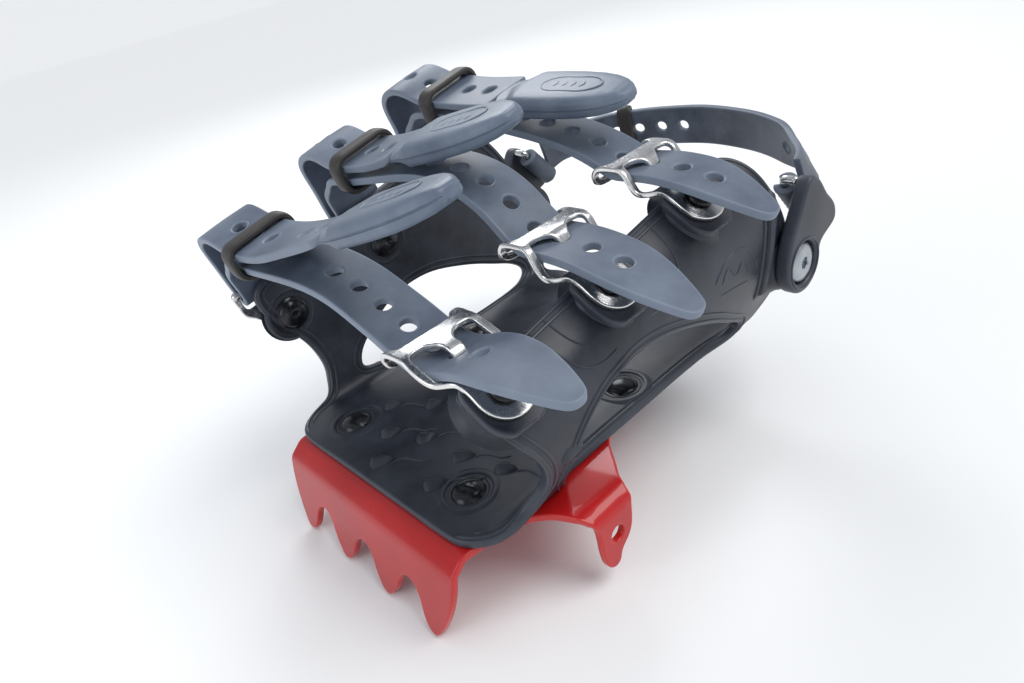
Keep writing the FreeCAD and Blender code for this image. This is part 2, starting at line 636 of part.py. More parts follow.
def strap(k):
    """One strap: pointed tip, run over the instep, loop round the left buckle and upper run."""
    frames = strap_frames(k, STRAP_STEP)
    total = frames[-1][3]

    def width_at(i):
        share = min(frames[i][3] / TIP_LENGTH, 1.0)
        return STRAP_W * (TIP_BLUNT + (1 - TIP_BLUNT) * math.sqrt(1 - (1 - share) ** 2.2))

    band = ribbon([frame[:3] for frame in frames], STRAP_T, width_at)
    fine = strap_frames(k, FINE_STEP)
    for distance in strap_hole_distances(k, total):
        middle, _, normal, _ = min(fine, key=lambda frame: abs(frame[3] - distance))
        band = band.cut(disc(tuple(middle), tuple(normal), HOLE_R, -3.2, 3.2))
    return band


def tab_frame(k):
    """Start, lengthwise, across and upward directions of a pull tab, continuing its strap."""
    middle, across, normal, _ = strap_frames(k, STRAP_STEP)[-1]
    along = across.cross(normal)
    if along.x < 0:
        along = along * -1
    return middle, along, across, along.cross(across)


def pull_tab(k):
    """Thick moulded grip on the end of a strap: a step up, a body that tapers, a rounded tip."""
    middle, along, across, upward = tab_frame(k)
    side = [
        (0.0, -1.5), (7.0, -2.6), (12.0, -3.6), (TAB_LENGTH - 8.0, -3.4), (TAB_LENGTH - 2.0, -2.0),
        (TAB_LENGTH, 0.0), (TAB_LENGTH - 2.0, 1.6), (TAB_LENGTH - 10.0, 2.8),
        (12.0, 3.4), (5.0, 2.4), (0.0, 1.5),
    ]
    wire = Part.makePolygon([middle + along * u + upward * w - across * 15 for u, w in side + [side[0]]])
    body = Part.Face(wire).extrude(across * 30)
    plan = [
        (-0.5, -10.0), (6.0, -10.4), (TAB_LENGTH - 16.0, -11.4), (TAB_LENGTH - 7.0, -9.8),
        (TAB_LENGTH - 1.5, -5.0), (TAB_LENGTH, 0.0), (TAB_LENGTH - 1.5, 5.0),
        (TAB_LENGTH - 7.0, 9.8), (TAB_LENGTH - 16.0, 11.4), (6.0, 10.4), (-0.5, 10.0),
    ]
    rim = Part.makePolygon([middle + along * u + across * v - upward * 12 for u, v in plan + [plan[0]]])
    return body.common(Part.Face(rim).extrude(upward * 24))


def square_loop(middle, across, upward, along, half_w, half_h, wall, length):
    """Square loop with an opening of the given half sizes and walls of one thickness."""
    blocks = []
    for grow, run in ((wall, length), (0, length * 2)):
        w = across * (half_w + grow)
        h = upward * (half_h + grow)
        start = middle - along * (run / 2)
        base = Part.makePolygon([start - w - h, start + w - h, start + w + h, start - w + h, start - w - h])
        blocks.append(Part.Face(base).extrude(along * run))
    return blocks[0].cut(blocks[1])


def keeper(k):
    """Plastic loop round both runs of a strap, free to slide along them."""
    fine = strap_frames(k, FINE_STEP)
    over = min([f for f in fine if f[3] < UPPER_RUN], key=lambda f: abs(f[0].x - KEEPER_X))
    back = min([f for f in fine if f[3] > UPPER_RUN], key=lambda f: abs(f[0].x - KEEPER_X))
    across = over[1]
    upward = back[0] - over[0]
    upward = (upward - across * upward.dot(across)).normalize()
    middle = (over[0] + back[0]) * 0.5
    along = across.cross(upward)
    half_h = (back[0] - over[0]).dot(upward) / 2 + STRAP_T / 2 + KEEPER_PLAY
    half_w = STRAP_W / 2 + KEEPER_PLAY
    return square_loop(middle, across, upward, along, half_w, half_h, KEEPER_WALL, KEEPER_LENGTH)


# ---------------------------------------------------------------- heel strap

def tilted(shape):
    """Sub-part of the heel strap, turned about the heel screws into its position of rest."""
    shape = shape.copy()
    shape.rotate(Vector(0, HEEL_Y, HEEL_Z), Vector(1, 0, 0), HEEL_TILT)
    return shape


def heel_bar_direction():
    angle = math.radians(HEEL_BAR_SLOPE)
    return Vector(0, math.cos(angle), math.sin(angle))


def heel_link():
    """Right heel link: a moulded hub on the heel screw and an arm up to a cross bar."""
    hub = disc((HEEL_X, HEEL_Y, HEEL_Z), (1, 0, 0), HEEL_HUB_R, 0, HEEL_LINK_T)
    arm = outline([
        (HEEL_X, HEEL_Y - 9.0, HEEL_Z + 4.0), (HEEL_X, HEEL_BAR_Y - 9.5, HEEL_BAR_Z + 9.0),
        (HEEL_X, HEEL_BAR_Y + 10.5, HEEL_BAR_Z - 6.5), (HEEL_X, HEEL_Y + 10.0, HEEL_Z + 3.0),
    ])
    arm = round_edges(prism(arm, (HEEL_LINK_T, 0, 0)), Vector(1, 0, 0), 2.4)
    link = hub.fuse(arm).removeSplitter()
    recess = disc((HEEL_X, HEEL_Y, HEEL_Z), (1, 0, 0), 7.4, HEEL_LINK_T - HEEL_RECESS, HEEL_LINK_T + 1)
    hole = disc((HEEL_X, HEEL_Y, HEEL_Z), (1, 0, 0), SCREW_R + RUN, -5, 10)
    return link.cut(recess).cut(hole)


def heel_bar():
    """Right wire bar: two short legs out of the link and a rod that the heel strap loops round."""
    direction = heel_bar_direction()
    centre = Vector(HEEL_BAR_X, HEEL_BAR_Y, HEEL_BAR_Z)
    bar = Part.makeCylinder(HEEL_BAR_R, 24.0, centre - direction * 12.0, direction)
    for end in (-11.0, 11.0):
        root = centre + direction * end
        bar = bar.fuse(Part.makeCylinder(HEEL_BAR_R, HEEL_X - HEEL_BAR_X, root, Vector(1, 0, 0)))
    return bar


def heel_frames():
    """Frames along the heel strap, from its right bar round behind the heel to its left bar."""
    half = [
        (62.0, 115.6, 50.4), (60.5, 121.0, 53.0), (54.0, 130.0, 56.0), (42.0, 139.0, 58.5),
        (28.0, 146.0, 60.5), (14.0, 150.0, 61.5), (0.0, 151.5, 62.0),
    ]
    points = [Vector(*p) for p in half] + [Vector(-x, y, z) for x, y, z in half[-2::-1]]
    curve = Part.BSplineCurve()
    curve.interpolate(points)
    upright = Vector(0, -0.36, 0.93)
    frames = []
    for i in range(HEEL_STEPS + 1):
        distance = curve.length() * i / HEEL_STEPS
        parameter = curve.parameterAtDistance(distance, curve.FirstParameter)
        point = curve.value(parameter)
        ahead = Vector(*curve.tangent(parameter)[0])
        side = smooth_step((abs(point.x) - 40.0) / 20.0)
        across = (upright * (1 - side) + heel_bar_direction() * -side)
        across = (across - ahead * across.dot(ahead)).normalize()
        frames.append((point, across, ahead.cross(across).normalize()))
    return frames


def heel_strap():
    """Band behind the heel, with an eye round each bar and a row of holes."""
    frames = heel_frames()
    band = ribbon(frames, HEEL_STRAP_T, lambda i: HEEL_STRAP_W)
    direction = heel_bar_direction()
    for side in (1, -1):
        centre = Vector(side * HEEL_BAR_X, HEEL_BAR_Y, HEEL_BAR_Z)
        eye = Part.makeCylinder(HEEL_EYE_R, HEEL_STRAP_W, centre - direction * (HEEL_STRAP_W / 2), direction)
        bore = Part.makeCylinder(HEEL_BAR_R + RUN, 30, centre - direction * 15, direction)
        band = band.fuse(eye).cut(bore)
    for step in HEEL_HOLE_STEPS:
        middle, _, normal = frames[step]
        band = band.cut(disc(tuple(middle), tuple(normal), HEEL_HOLE_R, -3, 3))
    return band.removeSplitter()


def heel_keeper():
    """Plastic loop that slides on the heel strap."""
    middle, across, normal = heel_frames()[HEEL_KEEPER_STEP]
    half_w = HEEL_STRAP_W / 2 + HEEL_KEEPER_PLAY
    half_t = HEEL_STRAP_T / 2 + HEEL_KEEPER_PLAY
    along = across.cross(normal)
    return square_loop(middle, across, normal, along, half_w, half_t, HEEL_KEEPER_WALL, HEEL_KEEPER_LENGTH)


# ---------------------------------------------------------------- write the nodes

save("crampon_plate", crampon_plate())
save("harness_floor", harness_floor())
save("harness_wall_right", harness_wall_right())
save("harness_wall_left", harness_wall_left())
save("floor_rivets", *[floor_rivet(x, y) for x, y in FLOOR_RIVETS])
save("floor_rivet_washers", *[floor_washer(x, y) for x, y in FLOOR_RIVETS])

head_low = SHEET_T / 2 + GAP
right_normal = tuple(tail_normal())
left_points = [(LOOP_TAIL_X, y, z) for _, y, z in LOOP_SCREWS]
save("right_buckle_screws", *[
    screw(point, right_normal, RIGHT_SEAT - THREAD, SCREW_HEAD_R, head_low) for point in PEG_SCREWS
])
save("right_inner_nuts", *[inner_nut(point, right_normal, RIGHT_SEAT) for point in PEG_SCREWS])
save("left_buckle_screws", *[
    screw(point, (-1, 0, 0), LEFT_SEAT - THREAD, SCREW_HEAD_R, head_low) for point in left_points
])
save("left_inner_nuts", *[inner_nut(point, (-1, 0, 0), LEFT_SEAT) for point in left_points])
heel_head = HEEL_LINK_T - HEEL_RECESS + GAP
save("heel_screws", *[
    screw((side * HEEL_X, HEEL_Y, HEEL_Z), (side, 0, 0), seat - THREAD, HEEL_HEAD_R, heel_head)
    for side, seat in HEEL_SEATS.items()
])
save("heel_inner_nuts", *[
    inner_nut((side * HEEL_X, HEEL_Y, HEEL_Z), (side, 0, 0), seat) for side, seat in HEEL_SEATS.items()
])

for k, name in enumerate(NAMES):
    save("peg_buckle_" + name, peg_buckle(PEG_SCREWS[k], BAR_RISE[k]))
    save("loop_buckle_" + name, loop_buckle(LOOP_SCREWS[k]))
    save("strap_" + name, strap(k))
    save("pull_tab_" + name, pull_tab(k))
    save("keeper_" + name, keeper(k))

save("heel_link_right", tilted(heel_link()))
save("heel_link_left", tilted(mirror_x(heel_link())))
save("heel_bar_right", tilted(heel_bar()))
save("heel_bar_left", tilted(mirror_x(heel_bar())))
save("heel_strap", tilted(heel_strap()))
save("heel_keeper", tilted(heel_keeper()))
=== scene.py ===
"""Looks of a toe crampon with a strap harness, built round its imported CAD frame.

Shapes are worked out in millimetres with Z counted from the top of the steel deck, as in the part's
source. put() turns them into metres in the frame of the CAD, whose origin is the pivot axis.
"""
import math
import bpy
import numpy as np
from mathutils import Matrix, Vector
from mathutils.geometry import delaunay_2d_cdt


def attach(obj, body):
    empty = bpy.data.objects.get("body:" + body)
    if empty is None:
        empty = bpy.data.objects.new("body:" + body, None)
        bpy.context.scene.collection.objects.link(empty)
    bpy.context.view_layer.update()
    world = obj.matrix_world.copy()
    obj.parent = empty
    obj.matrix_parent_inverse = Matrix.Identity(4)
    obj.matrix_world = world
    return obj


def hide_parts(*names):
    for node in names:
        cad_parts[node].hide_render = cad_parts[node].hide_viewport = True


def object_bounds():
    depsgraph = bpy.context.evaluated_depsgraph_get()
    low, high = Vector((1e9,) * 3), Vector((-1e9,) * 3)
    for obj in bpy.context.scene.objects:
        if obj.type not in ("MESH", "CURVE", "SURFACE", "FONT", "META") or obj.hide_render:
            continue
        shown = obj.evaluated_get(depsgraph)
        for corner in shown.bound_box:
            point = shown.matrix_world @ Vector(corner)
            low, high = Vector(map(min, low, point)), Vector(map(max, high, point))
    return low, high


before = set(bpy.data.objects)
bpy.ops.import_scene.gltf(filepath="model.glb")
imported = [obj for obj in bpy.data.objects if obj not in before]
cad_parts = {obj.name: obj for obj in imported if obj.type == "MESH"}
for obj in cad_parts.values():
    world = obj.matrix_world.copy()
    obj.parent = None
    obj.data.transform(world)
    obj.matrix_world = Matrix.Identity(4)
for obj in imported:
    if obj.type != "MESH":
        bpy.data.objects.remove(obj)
cad_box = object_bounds()

# ---- sizes in millimetres, most of them the same as in the CAD ----
DECK_TOP = 12.0
STEEL_T = 2.5
CREASE_Y, CREASE_Z = -44.0, -4.0       # lower crease of the bend above the teeth
RAKE = 0.28                            # how far the toothed front leans, for each millimetre of its height
EAR_X = 69.0
DECK_REAR_Y = 60.0
EAR_START_X = 50.0                     # the plate's ears start to bend beyond this
PIVOT_R = 2.6
RUBBER_T = 3.0
FLOOR_HALF_W = 49.5
WALL_STATION_Y = 22.0
WALL_START_Y, WALL_EASE_Y = -31.0, 14.0    # the front lip is flat, and eases up into the walls
WALL_START_U, WALL_EASE_U = 57.0, 6.0
WALL_RISE = 0.00306                    # the walls' growth towards the heel, for each millimetre
FLOOR_RIVETS = ((32.0, -22.0), (-32.0, -22.0), (39.0, 42.0), (-39.0, 42.0))
NAMES = ("front", "middle", "rear")
STRAP_T = 3.0
STRAP_W = 20.0
HOLE_R = 2.45
SHEET_T = 1.6
GAP = 0.3
TAIL_TILT = math.radians(36.0)
PEG_SCREWS = ((61.0, -20.0, 50.0), (61.0, 22.0, 57.2), (61.0, 63.0, 64.2))
BAR_RISE = (8.4, 12.9, 11.5)
PEG_ROOTS = (21.6, 17.8, 17.8)         # from each screw in to the root of the peg
PEG_LEG = 13.6                         # from each screw in to the peg where it stands in its hole
BUCKLE_W = 25.4
WINDOW_W = 21.2
LOOP_SCREWS = ((-61.5, -18.6, 40.0), (-61.5, 26.5, 48.0), (-61.5, 68.0, 57.0))
TAB_ROLL = math.radians(5.0)           # the pull tabs' far sides are turned up by this
TAB_DIP = math.radians(2.5)            # and the tabs droop under their own weight
LEAN = math.radians(11.0)              # the left buckles lean forward
LEAN_END_X, LEAN_RUN = -42.0, 56.0     # the straps' lean fades out to the right of here, over this run
LOOP_TAIL_X = -64.0
INNER_SEAT_X = -58.9                   # the left wall's inner seats for the nuts
LOOP_X = -67.2                         # the bars of the left buckles
LOOP_BAR_H = 14.0                      # from each screw up to the bar
LOOP_BAR_R = 1.7
TAB_LENGTH = 50.0
HOLE_PITCH = 10.6
PEG_HOLE_IN = 15.0                     # from each screw in to the strap's hole over the peg
LAST_HOLE = 8.0                        # from the tab's end of the strap to its last hole
KEEPER_X = -40.0
KEEPER_EASE = (0.8, 1.35, 1.35)        # room over and under the two runs of each strap
UPPER_RUN = 150.0                      # from the tip, the upper run starts beyond this distance
STRAP_BODY_T = STRAP_T - 0.5           # the visible strap is thinner than the CAD's, and bowed across
STRAP_CROWN = 0.5
TAB_ROLL_RUN = 24.0                    # the strap turns to the tab's roll over this length
HEEL_Y, HEEL_Z = 103.0, 26.0
HEEL_X = 67.0
HEEL_LINK_T = 5.0
HEEL_HUB_R = 10.5
HEEL_BAR = np.array((61.8, 111.5, 46.0))
HEEL_BAR_R = 1.6
HEEL_BAR_SLOPE = math.radians(-38.0)
HEEL_TILT = math.radians(-12.0)        # the whole heel strap, about its screws
HEEL_STRAP_W = 17.0
HEEL_STRAP_T = 2.6
HEEL_STEPS = 60                        # equal steps along the heel strap, for its holes and its keeper
HEEL_HOLE_STEPS = (7, 11, 34, 38, 42, 46, 50)
HEEL_HOLE_R = 2.2
HEEL_KEEPER_STEP = 44
HEEL_KEEPER_PLAY = 0.55
HEEL_SEATS = ((1, -6.0), (-1, -7.5))   # side, and the inner nut's seat from the heel link's inner face
SCREW_R = 2.2
RIGHT_SCREW_END, RIGHT_NUT_SEAT = -8.0, -6.0    # along each screw, from the middle of its buckle's tail
LEFT_SCREW_END, LEFT_NUT_SEAT = -7.5, -5.5
HEEL_BOSS_DEPTHS = ((1, -5.5), (-1, -7.5))
BUTTON_HEAD_R = 4.2                    # the buckles' screws, and half their drive across its flats
BUTTON_DRIVE = 1.5
HEEL_HEAD_R = 6.7                      # the same of the heel screws, and the underside of their heads
HEEL_DRIVE = 1.9
HEEL_HEAD_LOW = 3.1
BUCKLE_HOLE_R = 2.25
RIVET_SEAT_R = 7.0
HEEL_RECESS_R = 7.5
SLIVER = 0.01                          # thinner triangles lie outside a straight stretch of outline
SIDE_NAMES = {1: "right", -1: "left"}

# ---- studio, in metres in the frame of the CAD ----
CAMERA_PLACE = (0.1798, -0.1009, 0.1586)
CAMERA_FORWARD = (-0.696, 0.510, -0.506)
CAMERA_UP = (-0.247, 0.491, 0.836)
CAMERA_LENS = 25.4
FLOOR_HALF = 4.0
RIM_HALF = 60.0                        # beyond the flat floor it rises to a far rim
RIM_RISE = 6.0

# Outer face of each wall at WALL_STATION_Y, from the floor's edge to the top, as (x, z).
RIGHT_WALL = (
    (FLOOR_HALF_W, 0.0), (52.5, 1.0), (57.0, 7.0), (62.3, 17.0), (65.6, 28.0), (66.6, 38.0),
    (65.6, 46.0), (62.8, 51.2), (59.2, 54.6), (55.6, 57.0), (52.4, 58.8),
)
LEFT_WALL = (
    (FLOOR_HALF_W, 0.0), (52.5, 1.0), (56.6, 7.0), (59.6, 17.0), (61.0, 28.0), (61.5, 38.0),
    (61.5, 46.0), (61.5, 51.4), (61.5, 57.0), (61.4, 62.0), (61.2, 70.0),
)
# Middle line of each strap's free end and its run over the instep, as (x, z), from the pointed
# tip on the right to the corner on the left.
STRAP_OVER = (
    ((88.0, 56.8), (76.0, 58.6), (64.0, 59.2), (54.0, 57.6), (48.0, 55.4), (43.5, 54.1),
     (38.5, 53.9), (33.5, 54.9), (25.0, 58.4), (14.0, 62.6), (3.0, 66.6), (-8.0, 69.2), (-20.0, 70.6),
     (-34.0, 71.0), (-46.0, 70.6)),
    ((89.0, 55.6), (78.0, 60.2), (66.0, 64.4), (54.5, 66.7), (48.0, 67.2), (43.5, 67.2),
     (38.5, 67.5), (34.0, 70.2), (28.0, 75.6), (20.0, 80.6), (11.0, 83.6), (1.0, 85.0), (-12.0, 84.8),
     (-26.0, 83.6), (-38.0, 82.2), (-47.0, 81.2)),
    ((85.5, 62.6), (75.0, 67.4), (65.0, 71.0), (56.0, 72.6), (48.5, 73.0), (43.5, 72.8),
     (38.5, 73.0), (33.5, 75.0), (26.0, 78.2), (18.0, 80.6), (8.0, 82.8), (-2.0, 84.6), (-14.0, 86.8),
     (-28.0, 89.0), (-38.0, 90.2), (-47.0, 90.6)),
)
# Middle line of each strap's upper run, from the corner over the left buckle to the pull tab.
STRAP_BACK = (
    ((-63.6, 77.6), (-56.0, 78.2), (-46.0, 76.2), (-36.0, 75.8), (-24.0, 76.8), (-12.0, 79.2), (0.0, 82.4),
     (8.5, 85.1)),
    ((-63.6, 89.2), (-56.0, 89.7), (-47.0, 87.0), (-38.0, 87.0), (-29.0, 87.8), (-20.0, 89.3), (-13.5, 90.8)),
    ((-63.6, 98.8), (-56.0, 99.0), (-47.0, 96.0), (-38.0, 94.9), (-28.0, 94.2), (-18.0, 93.9), (-9.9, 94.0)),
)
# Top of each wall's window, as (y, z), from the front.
LEFT_ARCH = (
    (-1.6, 7.5), (-0.8, 10.6), (3.6, 15.0), (9.6, 19.0), (18.0, 23.6), (30.0, 26.6), (42.0, 26.4),
    (54.0, 23.2), (66.0, 18.6), (76.0, 14.0), (82.0, 11.2),
)
RIGHT_ARCH = (
    (-4.2, 6.5), (-6.0, 11.0), (-5.6, 16.0), (-3.6, 22.0), (0.4, 27.6), (6.0, 31.8), (13.0, 34.6),
    (21.5, 36.0), (31.0, 35.4), (39.5, 33.2), (49.5, 29.4), (58.0, 25.4), (66.0, 21.0), (75.0, 15.4),
    (83.0, 10.4),
)
# Leaf-shaped tip of a strap, as (distance from the tip, share of the full width).
STRAP_TIP = (
    (0.0, 0.0), (0.1, 0.12), (0.6, 0.24), (1.7, 0.34), (4.0, 0.45), (7.0, 0.57), (11.0, 0.71), (15.0, 0.83),
    (19.0, 0.92), (23.0, 0.975), (27.0, 1.0),
)
# Pull tab, as (distance along it, half its width, top, bottom).
TAB_OUTLINE = (
    (-1.0, 9.7, 1.2, -1.2), (1.5, 10.0, 1.4, -1.4), (4.0, 10.4, 1.6, -1.8), (7.0, 10.9, 2.9, -3.0),
    (9.5, 11.2, 3.5, -3.5), (20.0, 11.4, 3.5, -3.5), (28.0, 11.1, 3.5, -3.5), (36.0, 10.2, 3.4, -3.4),
    (41.5, 8.8, 3.2, -3.2), (45.5, 6.9, 2.9, -2.9), (48.0, 5.1, 2.5, -2.5), (49.4, 3.6, 1.9, -1.9),
    (TAB_LENGTH, 2.6, 1.2, -1.2),
)


# ---------------------------------------------------------------- curves

def unit(v):
    """Vectors of length 1 along the given ones."""
    v = np.asarray(v, float)
    return v / np.maximum(np.linalg.norm(v, axis=-1, keepdims=True), 1e-9)


def distances(path):
    """Distance along a path at each of its points."""
    return np.concatenate([[0], np.cumsum(np.linalg.norm(np.diff(path, axis=0), axis=1))])


def even(path, step, closed=False):
    """The same path with its points about step apart; a closed one doesn't repeat its first point."""
    far = distances(path)
    count = max(int(round(far[-1] / step)), 3)
    at = np.linspace(0, far[-1], count + 1)
    if closed:
        at = at[:-1]
    return np.stack([np.interp(at, far, path[:, k]) for k in range(path.shape[1])], 1)


def curve_through(points, step=0.5, closed=False):
    """Evenly spaced points along the smooth cubic curve through the given ones."""
    p = np.asarray(points, float)
    if closed:
        p = np.vstack([p, p[:1]])
    h = np.linalg.norm(np.diff(p, axis=0), axis=1)
    slope = np.diff(p, axis=0) / h[:, None]
    matrix = np.eye(len(p))
    right = np.zeros_like(p)
    for i in range(1, len(p) - 1):
        matrix[i, i - 1:i + 2] = h[i - 1], 2 * (h[i - 1] + h[i]), h[i]
        right[i] = 6 * (slope[i] - slope[i - 1])
    if closed:
        matrix[0, -1] = -1
        matrix[-1] = 0
        matrix[-1, [0, 1, -2]] = 2 * (h[-1] + h[0]), h[0], h[-1]
        right[-1] = 6 * (slope[0] - slope[-1])
    m = np.linalg.solve(matrix, right)
    runs = []
    for i, run in enumerate(h):
        t = np.linspace(0, run, max(int(run / step * 4), 8), endpoint=False)[:, None]
        cubic = (m[i] * (run - t) ** 3 + m[i + 1] * t ** 3) / (6 * run)
        line = (p[i] / run - m[i] * run / 6) * (run - t) + (p[i + 1] / run - m[i + 1] * run / 6) * t
        runs.append(cubic + line)
    return even(np.vstack(runs + [p[-1:]]), step, closed)


def rounded(points, radius, step=0.4, closed=True):
    """Straight-sided outline with its corners rounded from radius before each to radius after it."""
    p = np.asarray(points, float)
    path = []
    for i in range(len(p)):
        if not closed and i in (0, len(p) - 1):
            path.append(p[i:i + 1])
            continue
        before, after = p[i - 1] - p[i], p[(i + 1) % len(p)] - p[i]
        cut = min(radius, 0.49 * np.linalg.norm(before), 0.49 * np.linalg.norm(after))
        start, end = p[i] + unit(before) * cut, p[i] + unit(after) * cut
        t = np.linspace(0, 1, 9)[:, None]
        path.append(start * (1 - t) ** 2 + p[i] * 2 * t * (1 - t) + end * t ** 2)
    path = np.vstack(path)
    if closed:
        path = np.vstack([path, path[:1]])
    return even(path, step, closed)


def ring(centre, radius, step=0.5):
    """Circle in a flat plane."""
    count = max(int(2 * math.pi * radius / step), 16)
    angle = np.linspace(0, 2 * math.pi, count, endpoint=False)
    return np.asarray(centre, float) + radius * np.stack([np.cos(angle), np.sin(angle)], 1)


def smooth_step(value):
    """Ease from 0 to 1."""
    t = np.clip(value, 0.0, 1.0)
    return t * t * (3 - 2 * t)


def sideways(path, distance):
    """Open flat path moved to its left by a distance."""
    along = unit(np.gradient(path, axis=0))
    return path + np.stack([-along[:, 1], along[:, 0]], 1) * distance


def mirrored(half, signs=(1, -1)):
    """Closed outline from the half of it on one side of its middle line."""
    return list(half) + [(a * signs[0], b * signs[1]) for a, b in half[-2:0:-1]]


def path_place(path, y):
    """Surface swept along Y from a path of (x, z): place(uv) takes distance along the path, and Y."""
    far = distances(path)

    def place(uv):
        x = np.interp(uv[:, 0], far, path[:, 0])
        z = np.interp(uv[:, 0], far, path[:, 1])
        return np.stack([x, y + uv[:, 1], z], 1)

    return place


def frames_place(middle, across, crown=0.0):
    """Surface of a band: place(uv) takes the distance along it and the distance across it."""
    far = distances(middle)
    up = unit(np.cross(unit(np.gradient(middle, axis=0)), across))

    def blend(array, at):
        return np.stack([np.interp(at, far, array[:, k]) for k in range(3)], 1)

    def place(uv):
        lift = crown * (0.5 - 2 * (uv[:, 1:] / STRAP_W) ** 2)
        return blend(middle, uv[:, 0]) + blend(across, uv[:, 0]) * uv[:, 1:] + blend(up, uv[:, 0]) * lift

    return place


def lifted(place, uv, height):
    """Points at a height over a surface."""
    uv = np.asarray(uv, float)
    nudge = 0.05
    du = place(uv + (nudge, 0)) - place(uv - (nudge, 0))
    dv = place(uv + (0, nudge)) - place(uv - (0, nudge))
    return place(uv) + unit(np.cross(du, dv)) * np.reshape(height, (-1, 1))


# ---------------------------------------------------------------- meshes, as (points, faces, rims)

def turned(loop, way):
    """The loop with its area on its left (1) or on its right (-1)."""
    x, y = loop[:, 0], loop[:, 1]
    area = np.sum(x * np.roll(y, -1) - np.roll(x, -1) * y)
    return loop if area * way > 0 else loop[::-1]


def inset(loop, distance):
    """The loop moved sideways to its left."""
    along = unit(unit(np.roll(loop, -1, 0) - loop) + unit(loop - np.roll(loop, 1, 0)))
    return loop + np.stack([-along[:, 1], along[:, 0]], 1) * distance


def inside(points, loops):
    """Whether each point is inside the first loop and outside the others."""
    crossings = np.zeros(len(points), int)
    for loop in loops:
        a, b = loop, np.roll(loop, -1, 0)
        rise = np.where(b[:, 1] == a[:, 1], 1e-12, b[:, 1] - a[:, 1])
        for i, (x, y) in enumerate(points):
            hit = (a[:, 1] > y) != (b[:, 1] > y)
            crossings[i] += np.count_nonzero(hit & (x < (b[:, 0] - a[:, 0]) * (y - a[:, 1]) / rise + a[:, 0]))
    return crossings % 2 == 1


def filled(loops, spacing):
    """Flat triangles inside loops: (points, triangles, for each loop the numbers of its points)."""
    low, high = loops[0].min(0), loops[0].max(0)
    rows = np.arange(low[1] + spacing / 2, high[1], spacing * 0.87)
    grid = []
    for k, y in enumerate(rows):
        xs = np.arange(low[0] + spacing * (0.25 + 0.5 * (k % 2)), high[0], spacing)
        grid.append(np.stack([xs, np.full(len(xs), y)], 1))
    grid = np.vstack(grid)
    edge = np.vstack(loops)
    near = np.array([np.min(np.sum((edge - g) ** 2, 1)) for g in grid])
    grid = grid[near > (0.6 * spacing) ** 2]
    grid = grid[inside(grid, loops)]
    edges, start = [], 0
    for loop in loops:
        count = len(loop)
        edges += [(start + i, start + (i + 1) % count) for i in range(count)]
        start += count
    given = [Vector(p) for p in np.vstack([edge, grid])]
    verts, _, faces, origin, _, _ = delaunay_2d_cdt(given, edges, [], 0, 1e-6)
    points = np.array([tuple(v) for v in verts])
    number = {old: new for new, olds in enumerate(origin) for old in olds}
    triangles = np.array([tuple(f) for f in faces])
    middle = points[triangles].mean(1)
    triangles = triangles[inside(middle, loops)]
    a, b, c = (points[triangles[:, k]] for k in range(3))
    area = (b[:, 0] - a[:, 0]) * (c[:, 1] - a[:, 1]) - (c[:, 0] - a[:, 0]) * (b[:, 1] - a[:, 1])
    triangles[area < 0] = triangles[area < 0][:, ::-1]
    longest = np.max([np.linalg.norm(b - a, axis=1), np.linalg.norm(c - b, axis=1),
                      np.linalg.norm(a - c, axis=1)], 0)
    triangles = triangles[np.abs(area) > SLIVER * longest]
    numbers, start = [], 0
    for loop in loops:
        numbers.append(np.array([number[start + i] for i in range(len(loop))]))
        start += len(loop)
    return points, triangles, numbers


def sheet(place, outline, holes, thickness, edge, spacing):
    """Sheet cut to a flat outline with holes, laid on a surface, with rounded rims all round."""
    loops = [turned(outline, 1)] + [turned(hole, -1) for hole in holes]
    half = thickness / 2
    rims = [
        (edge * (1 - math.cos(a)), half - edge + edge * math.sin(a))
        for a in np.radians((0, 30, 60, 90))
    ]
    rims.append((edge + 0.35, half))
    inner = [inset(loop, rims[-1][0]) for loop in loops]
    flat, triangles, numbers = filled(inner, spacing)
    points, faces, rim_sheen_and_wear, skins = [], [], [], []
    total = 0
    for side in (1, -1):
        rings = []
        for step, (shift, height) in enumerate(rims[:-1]):
            row = []
            for loop in loops:
                points.append(lifted(place, inset(loop, shift), np.full(len(loop), height * side)))
                # Rim rings carry 1 and 0.6, which the materials lighten as a painted edge highlight, partly
                # wear.
                rim_sheen_and_wear.append(np.full(len(loop), 1.0 if step < 3 else 0.6))
                row.append(np.arange(total, total + len(loop)))
                total += len(loop)
            rings.append(row)
        points.append(lifted(place, flat, np.full(len(flat), half * side)))
        rim_sheen_and_wear.append(np.zeros(len(flat)))
        rings.append([total + n for n in numbers])
        faces += [tuple(f[::side]) for f in triangles + total]
        total += len(flat)
        for outer, inner_row in zip(rings, rings[1:]):
            for a, b in zip(outer, inner_row):
                quads = np.stack([a, np.roll(a, -1), np.roll(b, -1), b], 1)
                faces += [tuple(f[::side]) for f in quads]
        skins.append(rings[0])
    for top, bottom in zip(*skins):
        quads = np.stack([bottom, np.roll(bottom, -1), np.roll(top, -1), top], 1)
        faces += [tuple(f) for f in quads]
    return np.vstack(points), faces, np.concatenate(rim_sheen_and_wear)


def ring_faces(count, sides, closed=False):
    """Faces of a skin over rings of points, with flat ends unless it closes on itself."""
    faces = []
    for i in range(count if closed else count - 1):
        j = (i + 1) % count
        for k in range(sides):
            n = (k + 1) % sides
            faces.append((i * sides + k, i * sides + n, j * sides + n, j * sides + k))
    if not closed:
        faces.append(tuple(range(sides))[::-1])
        faces.append(tuple((count - 1) * sides + k for k in range(sides)))
    return faces


